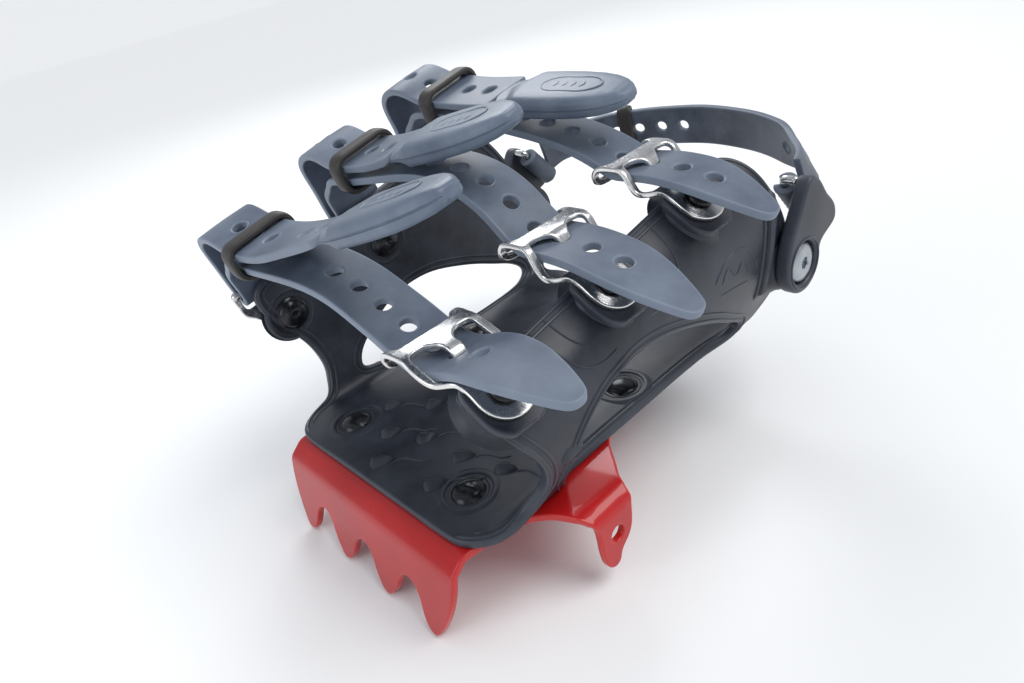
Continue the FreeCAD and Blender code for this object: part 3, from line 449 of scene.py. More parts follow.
def tube(path, radius, sides, closed=False):
    """Round rod along a path; its radius may change along it."""
    path = np.asarray(path, float)
    radius = np.broadcast_to(np.asarray(radius, float), (len(path),))
    if closed:
        along = unit(np.roll(path, -1, 0) - np.roll(path, 1, 0))
    else:
        along = unit(np.gradient(path, axis=0))
    side = unit(np.cross(along[0], (0.31, 0.52, 0.79)))
    points = []
    angle = np.linspace(0, 2 * math.pi, sides, endpoint=False)[:, None]
    for centre, ahead, r in zip(path, along, radius):
        side = unit(side - ahead * np.dot(side, ahead))
        other = np.cross(ahead, side)
        points.append(centre + r * (np.cos(angle) * side + np.sin(angle) * other))
    points = np.vstack(points)
    return points, ring_faces(len(path), sides, closed), np.zeros(len(points))


def rod(path, radius, sides=14):
    """Round rod with rounded ends."""
    path = np.asarray(path, float)
    far = distances(path)
    ends = [(t, math.sqrt(1 - (1 - t) ** 2)) for t in (0.0, 0.12, 0.35, 0.65, 1.0)]
    at = [t * radius for t, _ in ends] + [far[-1] - t * radius for t, _ in ends[::-1]]
    inner = far[(far > radius) & (far < far[-1] - radius)]
    stations = np.sort(np.concatenate([at, inner]))
    centre = np.stack([np.interp(stations, far, path[:, k]) for k in range(3)], 1)
    share = np.minimum(np.minimum(stations, far[-1] - stations) / radius, 1.0)
    size = radius * np.sqrt(np.maximum(1 - (1 - share) ** 2, 0.01))
    return tube(centre, size, sides)


def bead(place, uv, height, radius, closed=False):
    """Thin raised line on a surface."""
    path = lifted(place, uv, height)
    size = np.full(len(path), radius)
    if not closed:
        fade = np.minimum(np.arange(len(path)), np.arange(len(path))[::-1]) / 3.0
        size = radius * np.clip(0.25 + fade, 0, 1)
    points, faces, _ = tube(path, size, 8, closed)
    # Raised lines carry 0.7, which the materials lighten as a painted highlight, partly wear.
    return points, faces, np.full(len(points), 0.7)


def turned_part(centre, axis, profile, sides=48):
    """Part turned about an axis from a profile of (radius, height), or with a third number of flats."""
    axis = unit(axis)
    first = unit(np.cross(axis, (0.0, 1.0, 0.1) if abs(axis[1]) < 0.9 else (1.0, 0.0, 0.0)))
    second = np.cross(axis, first)
    angle = np.linspace(0, 2 * math.pi, sides, endpoint=False)
    points = []
    for radius, height, *flats in profile:
        size = np.full(sides, max(radius, 0.01))
        if flats:
            sector = 2 * math.pi / flats[0]
            size = radius / np.cos((angle % sector) - sector / 2)
        around = np.cos(angle)[:, None] * first + np.sin(angle)[:, None] * second
        points.append(np.asarray(centre) + axis * height + around * size[:, None])
    points = np.vstack(points)
    return points, ring_faces(len(profile), sides), np.zeros(len(points))


def loft(rings, closed=False):
    """Skin over rings of the same number of points, with flat ends unless it closes on itself."""
    count, sides = len(rings), len(rings[0])
    return np.vstack(rings), ring_faces(count, sides, closed), np.zeros(count * sides)


def facing_out(points, faces):
    """Faces turned so that the closed mesh's normals point out."""
    volume = 0.0
    for face in faces:
        a = points[face[0]]
        for i in range(1, len(face) - 1):
            volume += np.dot(a, np.cross(points[face[i]], points[face[i + 1]]))
    return faces if volume > 0 else [tuple(f[::-1]) for f in faces]


def new_object(name, data):
    """New object in the scene."""
    made = bpy.data.objects.new(name, data)
    bpy.context.scene.collection.objects.link(made)
    return made


def put(name, parts, material, body, replaces, sharp=40.0):
    """One piece from mesh parts in millimetres, riding on its body and standing for CAD nodes."""
    points, faces, rim_sheen_and_wear, start = [], [], [], 0
    for part_points, part_faces, part_rim_sheen_and_wear in parts:
        part_faces = facing_out(part_points, part_faces)
        points.append(part_points)
        rim_sheen_and_wear.append(part_rim_sheen_and_wear)
        faces += [tuple(int(i) + start for i in f) for f in part_faces]
        start += len(part_points)
    points = (np.vstack(points) + (0, 0, DECK_TOP)) / 1000
    mesh = bpy.data.meshes.new(name)
    mesh.from_pydata(points.tolist(), [], faces)
    mesh.attributes.new("rim", "FLOAT", "POINT").data.foreach_set("value", np.concatenate(rim_sheen_and_wear))
    mesh.polygons.foreach_set("use_smooth", [True] * len(mesh.polygons))
    mesh.set_sharp_from_angle(angle=math.radians(sharp))
    mesh.materials.append(material)
    piece = new_object(name, mesh)
    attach(piece, body)
    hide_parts(*replaces)
    return piece


# ---------------------------------------------------------------- material building blocks

def node(tree, kind, inputs=(), **settings):
    """New shader node with its settings and its inputs; an input is a value or a socket."""
    made = tree.nodes.new(kind)
    for key, value in settings.items():
        setattr(made, key, value)
    for key, value in dict(inputs).items():
        if isinstance(value, bpy.types.NodeSocket):
            tree.links.new(value, made.inputs[key])
        else:
            made.inputs[key].default_value = value
    return made


def blank_material(name, **shader_values):
    """Material with a Principled shader, whose uniform values are set on its sockets."""
    material = bpy.data.materials.new(name)
    material.use_nodes = True
    tree = material.node_tree
    shader = tree.nodes["Principled BSDF"]
    for key, value in shader_values.items():
        shader.inputs[key.replace("_", " ")].default_value = value
    coords = node(tree, "ShaderNodeTexCoord").outputs["Object"]
    return material, tree, shader, coords


def noise(tree, coords, scale, detail=3.0, rough=0.5, stretch=None, distortion=0.0):
    """Noise over the object; stretch gives it a grain along one direction."""
    if stretch is not None:
        coords = node(tree, "ShaderNodeMapping", {"Vector": coords, "Scale": stretch}).outputs["Vector"]
    made = node(tree, "ShaderNodeTexNoise", {
        "Vector": coords, "Scale": scale, "Detail": detail, "Roughness": rough, "Distortion": distortion,
    })
    return made.outputs["Fac"]


def band(tree, value, low, high, to_low=0.0, to_high=1.0):
    """Value mapped from one range to another, held at the ends."""
    return node(tree, "ShaderNodeMapRange", {
        "Value": value, "From Min": low, "From Max": high, "To Min": to_low, "To Max": to_high,
    }).outputs["Result"]


def mixed(tree, share, first, second):
    """Colour between two colours, each a socket or (red, green, blue)."""
    first, second = (c if isinstance(c, bpy.types.NodeSocket) else (*c, 1.0) for c in (first, second))
    return node(tree, "ShaderNodeMix", {0: share, 6: first, 7: second}, data_type="RGBA").outputs[2]


def math_node(tree, kind, first, second):
    """One arithmetic step."""
    return node(tree, "ShaderNodeMath", {0: first, 1: second}, operation=kind).outputs[0]


def bumps(tree, shader, *layers):
    """Bump from several (height, strength, distance in metres) layers, one on another."""
    normal = None
    for height, strength, distance in layers:
        made = node(tree, "ShaderNodeBump", {"Height": height, "Strength": strength, "Distance": distance})
        if normal is not None:
            tree.links.new(normal, made.inputs["Normal"])
        normal = made.outputs["Normal"]
    tree.links.new(normal, shader.inputs["Normal"])


def rim_of(tree):
    """How near a point is to a rim of its sheet, from 0 to 1."""
    return node(tree, "ShaderNodeAttribute", attribute_name="rim").outputs["Fac"]


def rubber(name, base, light, rough, grain, mottle=70.0, scuff=0.35, rim=0.5):
    """Moulded rubber: fine grain, slow mottling, pale scuffs, and rims and raised lines lightened, a painted
    highlight that is partly wear.
    """
    material, tree, shader, coords = blank_material(name, Specular_IOR_Level=0.42)
    slow = noise(tree, coords, mottle, detail=4.0, rough=0.6)
    colour = mixed(tree, band(tree, slow, 0.3, 0.7), base, [0.55 * b + 0.45 * c for b, c in zip(base, light)])
    streak = noise(tree, coords, 260.0, detail=6.0, rough=0.65, stretch=(1.0, 0.35, 2.2), distortion=0.4)
    patch = noise(tree, coords, 38.0, detail=2.0)
    scuffs = math_node(tree, "MULTIPLY", band(tree, streak, 0.56, 0.72), band(tree, patch, 0.45, 0.7))
    colour = mixed(tree, math_node(tree, "MULTIPLY", scuffs, scuff), colour, light)
    # Rims and raised lines lightened towards the light colour: painted highlight along the edges, partly
    # wear.
    colour = mixed(tree, math_node(tree, "MULTIPLY", rim_of(tree), rim), colour, light)
    tree.links.new(colour, shader.inputs["Base Color"])
    fine = noise(tree, coords, grain, detail=2.0, rough=0.6)
    roughness = math_node(tree, "ADD", band(tree, slow, 0.3, 0.7, rough - 0.05, rough + 0.07),
                          band(tree, scuffs, 0.0, 1.0, 0.0, 0.12))
    tree.links.new(roughness, shader.inputs["Roughness"])
    bumps(tree, shader, (fine, 0.35, 0.00006), (streak, 0.12, 0.00008))
    return material


def red_steel():
    """Gloss red powder coat: faint orange peel, a few scratches, and pale rub marks in patches."""
    material, tree, shader, coords = blank_material(
        "red powder coat", Coat_Weight=0.5, Coat_Roughness=0.06, Coat_IOR=1.45, Specular_IOR_Level=0.25)
    slow = noise(tree, coords, 45.0, detail=3.0)
    colour = mixed(tree, band(tree, slow, 0.35, 0.65), (0.40, 0.006, 0.008), (0.47, 0.010, 0.011))
    scratch = noise(tree, coords, 420.0, detail=4.0, rough=0.7, stretch=(0.25, 0.25, 1.6), distortion=0.6)
    marks = math_node(tree, "MULTIPLY", band(tree, scratch, 0.66, 0.74), band(tree, slow, 0.5, 0.62))
    colour = mixed(tree, math_node(tree, "MULTIPLY", marks, 0.35), colour, (0.75, 0.16, 0.14))
    # Brighter red at the plate's rims: painted highlight along the edges.
    colour = mixed(tree, math_node(tree, "MULTIPLY", rim_of(tree), 0.22), colour, (0.72, 0.06, 0.05))
    tree.links.new(colour, shader.inputs["Base Color"])
    tree.links.new(band(tree, slow, 0.3, 0.7, 0.27, 0.37), shader.inputs["Roughness"])
    peel = noise(tree, coords, 900.0, detail=2.0, rough=0.5)
    bumps(tree, shader, (peel, 0.10, 0.00010), (scratch, 0.05, 0.00005))
    return material


def buckle_steel():
    """Bright plated sheet steel: tumbled grain, soft dents, and darker stains in patches."""
    material, tree, shader, coords = blank_material("bright plated steel", Metallic=1.0)
    slow = noise(tree, coords, 160.0, detail=4.0, rough=0.6)
    colour = mixed(tree, band(tree, slow, 0.35, 0.7), (0.66, 0.66, 0.66), (0.42, 0.43, 0.45))
    warm = noise(tree, coords, 900.0, detail=5.0, rough=0.75)
    speck = math_node(tree, "MULTIPLY", band(tree, warm, 0.58, 0.68), band(tree, slow, 0.5, 0.62))
    colour = mixed(tree, math_node(tree, "MULTIPLY", speck, 0.6), colour, (0.62, 0.50, 0.34))
    # Near-white rims: painted highlight along the edges, partly polished wear.
    colour = mixed(tree, math_node(tree, "MULTIPLY", rim_of(tree), 0.6), colour, (0.93, 0.92, 0.90))
    tree.links.new(colour, shader.inputs["Base Color"])
    tree.links.new(band(tree, warm, 0.3, 0.75, 0.14, 0.34), shader.inputs["Roughness"])
    grain = noise(tree, coords, 2600.0, detail=3.0, rough=0.6)
    bumps(tree, shader, (slow, 0.25, 0.00018), (grain, 0.20, 0.00004))
    return material


def black_hardware():
    """Black oxide on screws and rivets: slightly oily."""
    material, tree, shader, coords = blank_material("black oxide", Metallic=0.55)
    slow = noise(tree, coords, 300.0, detail=3.0)
    colour = mixed(tree, band(tree, slow, 0.35, 0.7), (0.010, 0.011, 0.014), (0.03, 0.032, 0.038))
    tree.links.new(colour, shader.inputs["Base Color"])
    tree.links.new(band(tree, slow, 0.3, 0.7, 0.16, 0.3), shader.inputs["Roughness"])
    bumps(tree, shader, (noise(tree, coords, 1800.0, detail=2.0), 0.15, 0.00005))
    return material


def zinc_steel():
    """Zinc plated steel, with a faint turned grain and a bluish cast."""
    material, tree, shader, coords = blank_material("zinc plated steel", Metallic=1.0)
    slow = noise(tree, coords, 240.0, detail=4.0, rough=0.6)
    colour = mixed(tree, band(tree, slow, 0.3, 0.7), (0.30, 0.34, 0.38), (0.45, 0.47, 0.49))
    tree.links.new(colour, shader.inputs["Base Color"])
    tree.links.new(band(tree, slow, 0.3, 0.7, 0.22, 0.4), shader.inputs["Roughness"])
    bumps(tree, shader, (noise(tree, coords, 2200.0, detail=3.0), 0.2, 0.00005))
    return material


RED_STEEL = red_steel()
HARNESS_RUBBER = rubber("harness rubber", (0.009, 0.012, 0.020), (0.070, 0.080, 0.108), rough=0.40,
                        grain=2600.0, rim=0.30)
STRAP_RUBBER = rubber("strap rubber", (0.068, 0.090, 0.135), (0.26, 0.31, 0.39), rough=0.44, grain=3800.0,
                      mottle=45.0, scuff=0.08, rim=0.42)
TAB_RUBBER = rubber("tab rubber", (0.082, 0.110, 0.162), (0.27, 0.33, 0.41), rough=0.40, grain=3800.0,
                    mottle=45.0, scuff=0.06, rim=0.25)
KEEPER_PLASTIC = rubber("keeper plastic", (0.021, 0.018, 0.018), (0.085, 0.078, 0.076), rough=0.50,
                        grain=2400.0, mottle=90.0, scuff=0.25, rim=0.3)
HEEL_PLASTIC = rubber("heel link plastic", (0.013, 0.015, 0.022), (0.08, 0.09, 0.12), rough=0.40,
                      grain=2800.0, mottle=90.0, scuff=0.3, rim=0.35)
HEEL_STRAP = rubber("heel strap rubber", (0.040, 0.050, 0.074), (0.22, 0.26, 0.33), rough=0.46, grain=3600.0,
                    mottle=60.0, scuff=0.15, rim=0.4)
BUCKLE_STEEL = buckle_steel()
BLACK_HARDWARE = black_hardware()
ZINC_STEEL = zinc_steel()


# ---------------------------------------------------------------- crampon plate

def mid_path(points, radius, side):
    """Rounded path moved sideways by half the steel, and the distance along it at each point."""
    path = sideways(rounded(points, radius, 0.25, closed=False), side)
    return path, distances(path)


def crampon_plate():
    """Stamped plate: deck, creased bend, raked front with four teeth, and two ears bent down."""
    tip_z = -31.0
    section, far = mid_path([
        (DECK_REAR_Y, 0.0), (-38.6, 0.0), (CREASE_Y, CREASE_Z), (CREASE_Y + RAKE * (tip_z - CREASE_Z), tip_z),
    ], 1.7, STEEL_T / 2)
    bend = [(EAR_START_X, 0.0), (65.0, 0.0), (EAR_X, -2.8), (EAR_X, -30.0)]
    ear, ear_far = mid_path(bend, 1.5, -STEEL_T / 2)
    ear_drop = ear[:, 1] + STEEL_T / 2
    ear_far = ear_far + EAR_START_X

    def place(uv):
        along = DECK_REAR_Y - uv[:, 1]
        y = np.interp(along, far, section[:, 0])
        z = np.interp(along, far, section[:, 1])
        size = np.abs(uv[:, 0])
        x = np.where(size < EAR_START_X, size, np.interp(size, ear_far, ear[:, 0]))
        drop = np.where(size < EAR_START_X, 0.0, np.interp(size, ear_far, ear_drop))
        return np.stack([x * np.sign(uv[:, 0]), y, z + drop], 1)

    def v_of_z(z):
        return DECK_REAR_Y - np.interp(-z, -section[:, 1], far)

    def u_of_z(z):
        return np.interp(-z, -ear[:, 1], ear_far)

    half = [(0.0, 52.0), (18.0, 52.0), (34.0, 52.0), (41.5, 50.6), (45.6, 46.8), (47.0, 40.0), (47.0, 32.0)]
    half += [(48.3, 24.5), (53.0, 18.6), (59.5, 13.4), (65.0, 9.2)]
    leaf = [
        (8.0, -4.5), (7.4, -8.6), (6.2, -13.7), (3.9, -16.8), (0.6, -19.6), (-0.8, -22.3), (-2.9, -23.1),
        (-5.2, -21.8), (-6.6, -17.6), (-6.8, -11.0), (-7.3, -5.0),
    ]
    half += [(u_of_z(z), y) for y, z in leaf]
    half += [(65.0, -9.8), (59.5, -12.0), (53.0, -17.0), (49.5, -23.8), (48.4, -32.0), (47.6, -38.2)]
    teeth = [
        (47.5, -6.0), (46.7, -12.6), (45.4, -17.2), (43.0, -22.6), (40.6, -26.8), (38.0, -29.0),
        (35.4, -28.4), (31.8, -23.2), (29.2, -17.6), (26.2, -15.9), (23.4, -16.2), (20.9, -18.6),
        (18.4, -23.4), (16.0, -26.6), (13.2, -28.8), (10.6, -28.3), (8.4, -26.2), (6.2, -22.6), (4.4, -18.6),
        (2.4, -16.8), (0.0, -16.2),
    ]
    half += [(x, v_of_z(z)) for x, z in teeth]
    outline = curve_through(mirrored(half, (-1, 1)), step=0.7, closed=True)
    holes = [ring((side * u_of_z(-DECK_TOP), 0.0), PIVOT_R) for side in (1, -1)]
    return put("crampon_steel", [sheet(place, outline, holes, STEEL_T, edge=0.55, spacing=2.0)], RED_STEEL,
               "harness", ["crampon_plate"])


# ---------------------------------------------------------------- harness moulding

def wall_line(face):
    """Mid-line of the floor and a wall, from the middle of the floor up, and the distance along it."""
    outer = curve_through([(0.0, 0.0), (16.0, 0.0), (32.0, 0.0), (44.0, 0.0)] + list(face), step=0.5)
    middle = sideways(outer, RUBBER_T / 2)
    return middle, distances(middle)


WALL_LINES = {1: wall_line(RIGHT_WALL), -1: wall_line(LEFT_WALL)}


def wall_growth(y):
    """How much taller the walls are at a place along the foot than at WALL_STATION_Y."""
    return 1 + (y - WALL_STATION_Y) * WALL_RISE


def harness_place(uv):
    """The moulding's middle surface: u is the distance from the middle of the floor, v is Y."""
    size = np.abs(uv[:, 0])
    grown = np.maximum(smooth_step((uv[:, 1] - WALL_START_Y) / WALL_EASE_Y),
                       smooth_step((size - WALL_START_U) / WALL_EASE_U))
    x = np.zeros(len(uv))
    z = np.zeros(len(uv))
    for side, (middle, far) in WALL_LINES.items():
        here = uv[:, 0] * side >= 0
        x[here] = np.interp(size[here], far, middle[:, 0])
        z[here] = np.interp(size[here], far, middle[:, 1])
    z = RUBBER_T / 2 + (z - RUBBER_T / 2) * wall_growth(uv[:, 1])
    x = size + (x - size) * grown
    z = RUBBER_T / 2 + (z - RUBBER_T / 2) * grown
    return np.stack([x * np.sign(uv[:, 0]), uv[:, 1], z], 1)


def wall_u(side, y, z):
    """Distance from the middle of the floor to a height on a wall."""
    middle, far = WALL_LINES[side]
    level = RUBBER_T / 2 + (z - RUBBER_T / 2) / wall_growth(y)
    climb = middle[:, 1] + np.arange(len(middle)) * 1e-6
    return float(np.interp(level, climb, far))


def harness_half(side):
    """One half of the moulding's outline, from the middle of the front to the middle of the back."""
    floor_front = [(0.0, -37.5), (20.0, -37.5), (38.0, -37.5), (45.0, -36.6), (50.0, -33.4), (53.2, -28.8),
                   (54.8, -24.2)]
    column = [
        (-20.6, 5.0), (-17.4, 9.0), (-15.6, 14.0), (-15.8, 19.0), (-17.4, 25.0), (-21.0, 32.0),
        (-25.4, 39.0), (-28.4, 46.0),
    ]
    top = [(-27.6, 53.2), (-22.0, 56.6), (-6.0, 60.1), (14.0, 63.8), (34.0, 67.6), (54.0, 71.3), (70.0, 74.2)]
    rear = [(79.0, 72.6), (87.0, 66.4), (93.5, 57.0), (99.0, 46.6), (104.6, 35.0), (108.6, 24.4),
            (107.4, 14.0), (102.0, 7.0)]
    half = floor_front + [(wall_u(side, y, z), y) for y, z in column + top + rear]
    half += [(52.6, 97.4), (50.2, 97.0), (44.0, 97.8), (22.0, 98.0), (0.0, 98.0)]
    return [(side * u, v) for u, v in half]


def window_loop(side):
    """Outline of the window between the floor's edge and the wall, pointed at the back."""
    arch = RIGHT_ARCH if side > 0 else LEFT_ARCH
    sill = 0.0 if side > 0 else 5.6
    upper = [(wall_u(side, y, z), y) for y, z in arch]
    lower = [(56.4, 86.6), (52.6, 80.0), (50.8, 68.0), (50.4, 50.0), (50.4 + 0.3 * sill, 34.0),
             (50.4 + 0.8 * sill, 18.0), (50.6 + sill, 6.0)]
    lower.append((51.6 + sill, 1.6) if side < 0 else (51.4, 0.0))
    return curve_through([(side * u, v) for u, v in upper + lower], step=0.7, closed=True)


def harness_outline():
    """The whole outline of the moulding laid flat."""
    right, left = harness_half(1), harness_half(-1)
    return curve_through(np.array(right + left[-2:0:-1]), step=0.8, closed=True)


def rivet_collar(x, y):
    """Raised ring round a sunk seat for a rivet, moulded in the floor."""
    profile = [
        (10.4, -0.1), (9.6, 0.12), (8.9, 0.42), (8.2, 0.5), (7.7, 0.35), (7.5, -0.2),
        (7.2, -0.35), (6.9, -0.2), (6.5, 0.05), (6.1, -0.1), (5.9, -0.9), (5.0, -1.5),
    ]
    return turned_part((x, y, RUBBER_T), (0, 0, 1), profile, 64)


def drop(place, centre, heading, length, height):
    """Moulded water drop: a blunt end, a drawn-out point, and a crest along the middle."""
    angle = np.linspace(0, 2 * math.pi, 28, endpoint=False)
    wide = 0.36 * length * np.sin(angle) * (1 - 0.55 * np.cos(angle))
    long = 0.5 * length * np.cos(angle)
    turn = np.array([[math.cos(heading), -math.sin(heading)], [math.sin(heading), math.cos(heading)]])
    rings = []
    for share, lift in ((1.0, -0.3), (1.0, 0.05), (0.66, 0.5), (0.33, 0.8), (0.04, 1.0)):
        flat = np.stack([long * (0.6 + 0.4 * share) - 0.05 * length, wide * share], 1) @ turn.T + centre
        rings.append(lifted(place, flat, RUBBER_T / 2 + height * lift))
    return loft(rings)


def floor_drops():
    """The moulded drops on the floor, each with its stem."""
    seeds = (                          # x, y, heading and size
        (-4.0, -29.0, 0.75, 8.6), (-0.2, -12.6, 0.9, 8.2), (7.8, 0.0, 0.8, 7.4), (-14.0, -18.0, 0.8, 8.0),
        (20.5, -25.5, 0.9, 8.0), (18.4, -12.0, 0.7, 8.2), (35.0, -8.5, 0.5, 7.6), (-13.0, 1.0, 0.8, 7.4),
        (-27.0, -8.0, 0.7, 7.2),
    )
    parts = []
    for x, y, heading, size in seeds:
        parts.append(drop(harness_place, (x, y), heading, size, 1.9))
        ahead = np.array([math.cos(heading), math.sin(heading)])
        aside = np.array([-ahead[1], ahead[0]])
        start = np.array([x, y]) + ahead * size * 0.35 - aside * 1.6
        stem = [
            start + ahead * t * size * 1.6 + aside * 1.2 * math.sin(5.6 * t)
            for t in (0, 0.25, 0.5, 0.75, 1.0)
        ]
        parts.append(bead(harness_place, curve_through(stem, step=0.6), RUBBER_T / 2, radius=0.42))
    return parts


def edge_beads():
    """Raised lines just inside the moulding's edges, on both faces, and round the windows."""
    outline = turned(harness_outline(), 1)
    parts = []
    for distance, narrowest in ((1.3, 42.0), (3.3, 46.0)):
        inner = inset(outline, distance)
        beside = (np.abs(inner[:, 0]) > narrowest) & (inner[:, 1] < 94.0)
        first = np.flatnonzero(~beside)[0]
        run = []
        for i in np.roll(np.arange(len(inner)), -first):
            if beside[i]:
                run.append(inner[i])
            elif run:
                parts += both_faces(np.array(run))
                run = []
    for side in (1, -1):
        loop = turned(window_loop(side), -1)
        parts += both_faces(inset(loop, 1.3), closed=True)
        parts += both_faces(inset(loop, 3.3), closed=True)
    return parts


def both_faces(uv, closed=False):
    """The same raised line on the inner and on the outer face."""
    height = RUBBER_T / 2 - 0.10
    return [bead(harness_place, uv, side * height, radius=0.55, closed=closed) for side in (1, -1)]


def wall_line_bead(side, points, radius=0.3):
    """Raised line on the outer face of a wall through points of (y, z)."""
    path = curve_through(points, step=0.8)
    uv = np.array([(side * wall_u(side, y, z), y) for y, z in path])
    return bead(harness_place, uv, -RUBBER_T / 2 + 0.08, radius)


def wall_mouldings():
    """Framed panels, a generic hill mark and the thick rib in front of the heel hub, on both walls."""
    lines = (
        ((-3.0, 56.5), (-2.0, 50.0), (2.0, 44.0), (9.0, 41.5), (16.0, 42.4)),
        ((3.0, 55.5), (4.0, 49.5), (8.0, 46.0)),
        ((30.0, 44.0), (39.0, 45.0), (45.0, 49.0), (47.0, 55.0), (47.4, 62.0)),
        ((34.0, 49.0), (40.0, 51.0), (42.0, 58.0)),
        ((60.0, 38.0), (66.0, 43.0), (74.0, 44.0), (81.0, 39.0), (85.0, 32.0)),
        ((64.0, 36.0), (68.0, 40.5), (72.0, 36.0), (75.0, 39.0), (79.0, 33.5)),
        ((63.0, 33.0), (80.0, 30.0)),
    )
    parts = [wall_line_bead(side, points, 0.32) for side in (1, -1) for points in lines]
    rib = ((93.0, 55.0), (92.0, 46.0), (91.4, 36.0), (91.6, 26.0), (92.6, 17.0))
    parts += [wall_line_bead(side, rib, 1.9) for side in (1, -1)]
    parts += [wall_line_bead(side, [(y - 3.4, z) for y, z in rib], 0.8) for side in (1, -1)]
    return parts


def outer_place(uv):
    """The moulding's middle surface with u reversed, so that its normal points out of the walls."""
    return harness_place(uv * (-1, 1))


def wall_drops():
    """The drop on the outer face of each front column."""
    y, z = -6.0, 22.0
    return [drop(outer_place, (-side * wall_u(side, y, z), y), math.pi / 2, 8.5, 1.1) for side in (1, -1)]


def tail_normal():
    """Direction of the right buckles' screws."""
    return np.array([math.sin(TAIL_TILT), 0.0, math.cos(TAIL_TILT)])


def right_boss(k):
    """Rubber pad that follows the outline of a buckle's tail from below, on its round boss."""
    point = PEG_SCREWS[k]
    pad_t = 2.6
    under = sideways(peg_path(k), (SHEET_T + pad_t) / 2 + GAP)
    place = path_place(under, point[1])
    far = distances(under)

    def u(inboard):
        return float(np.interp(inboard, point[0] - under[:, 0], far))

    half = [(u(-8.6), 0.0), (u(-7.8), 4.4), (u(-4.6), 8.0), (u(0.0), 9.3), (u(3.6), 9.3), (u(5.4), 9.0),
            (u(7.2), 7.6), (u(8.0), 4.0), (u(8.1), 0.0)]
    outline = curve_through(mirrored(half), step=0.6, closed=True)
    pad = sheet(place, outline, [], pad_t, edge=0.7, spacing=1.6)
    boss = turned_part(point, tail_normal(), [
        (12.2, -8.2), (10.6, -6.8), (9.7, -5.0), (9.3, -3.4), (8.6, -2.8),
    ])
    return [pad, boss]


def harness_moulding():
    """The whole rubber moulding in one piece: floor, walls, windows, bosses, beads and drops."""
    holes = [window_loop(1), window_loop(-1)]
    holes += [ring((x, y), RIVET_SEAT_R) for x, y in FLOOR_RIVETS]
    parts = [sheet(harness_place, harness_outline(), holes, RUBBER_T, edge=0.8, spacing=2.2)]
    parts += [rivet_collar(x, y) for x, y in FLOOR_RIVETS]
    parts += floor_drops()
    parts += edge_beads()
    parts += wall_mouldings()
    parts += wall_drops()
    for k in range(len(NAMES)):
        parts += right_boss(k)
    for _, y, z in LOOP_SCREWS:
        loop_face = LOOP_TAIL_X + SHEET_T / 2 + GAP
        parts.append(turned_part((loop_face, y, z), (-1, 0, 0), [
            (11.0, -2.6), (9.6, -1.8), (9.2, -0.8), (8.6, 0.0), (4.0, 0.0),
        ]))
        parts.append(turned_part((INNER_SEAT_X, y, z), (1, 0, 0), [
            (10.2, -0.6), (9.6, 0.3), (8.8, 0.65), (8.0, 0.5), (7.4, -0.2), (6.0, -0.4),
        ]))
    for side, depth in HEEL_BOSS_DEPTHS:
        parts.append(turned_part((side * HEEL_X, HEEL_Y, HEEL_Z), (side, 0, 0), [
            (12.6, depth - 0.6), (11.2, depth + 1.2), (10.4, -2.0), (9.8, -0.9), (9.0, -GAP),
            (4.0, -GAP),
        ]))
    return put("harness_moulding", parts, HARNESS_RUBBER, "harness",
               ["harness_floor", "harness_wall_right", "harness_wall_left"])


# ---------------------------------------------------------------- fixed fasteners

def floor_rivets():
    """Domed rivet heads, their shanks and their closed feet."""
    parts = []
    for x, y in FLOOR_RIVETS:
        parts.append(turned_part((x, y, 0), (0, 0, 1), [
            (4.2, -4.0), (4.5, -3.5), (4.5, -STEEL_T), (2.2, -STEEL_T), (2.2, 1.6), (5.6, 1.8),
            (5.8, 2.2), (5.5, 3.0), (4.7, 3.9), (3.4, 4.6), (1.8, 5.0), (0.4, 5.1),
        ]))
    return put("rivet_heads", parts, BLACK_HARDWARE, "harness", ["floor_rivets"])


def button_screw(point, normal, inner, head_r, head_low, drive):
    """Button screw with a rounded rim and a six-sided socket; drive is half its size across the flats."""
    top = head_low + 2.0
    return turned_part(point, normal, [
        (SCREW_R, inner), (SCREW_R, head_low), (head_r - 0.2, head_low), (head_r, head_low + 0.3),
        (head_r, head_low + 0.8), (head_r * 0.93, head_low + 1.3), (head_r * 0.78, top - 0.3),
        (head_r * 0.6, top), (drive + 0.45, top), (drive + 0.2, top - 0.08, 6), (drive, top - 0.35, 6),
        (drive, top - 1.2, 6), (0.3, top - 1.4),
    ], 60)


def inner_nut(point, normal, seat):
    """Domed nut with its flange at seat, inside a wall, with a small central dimple."""
    outward = unit(normal)
    base = np.asarray(point, float) + outward * seat
    return turned_part(base, -outward, [
        (6.2, 0.0), (6.2, 0.5), (5.9, 0.9), (5.2, 1.2), (4.9, 1.7), (4.2, 2.4), (3.0, 2.9),
        (1.6, 3.0), (1.2, 2.8), (0.4, 2.7),
    ])


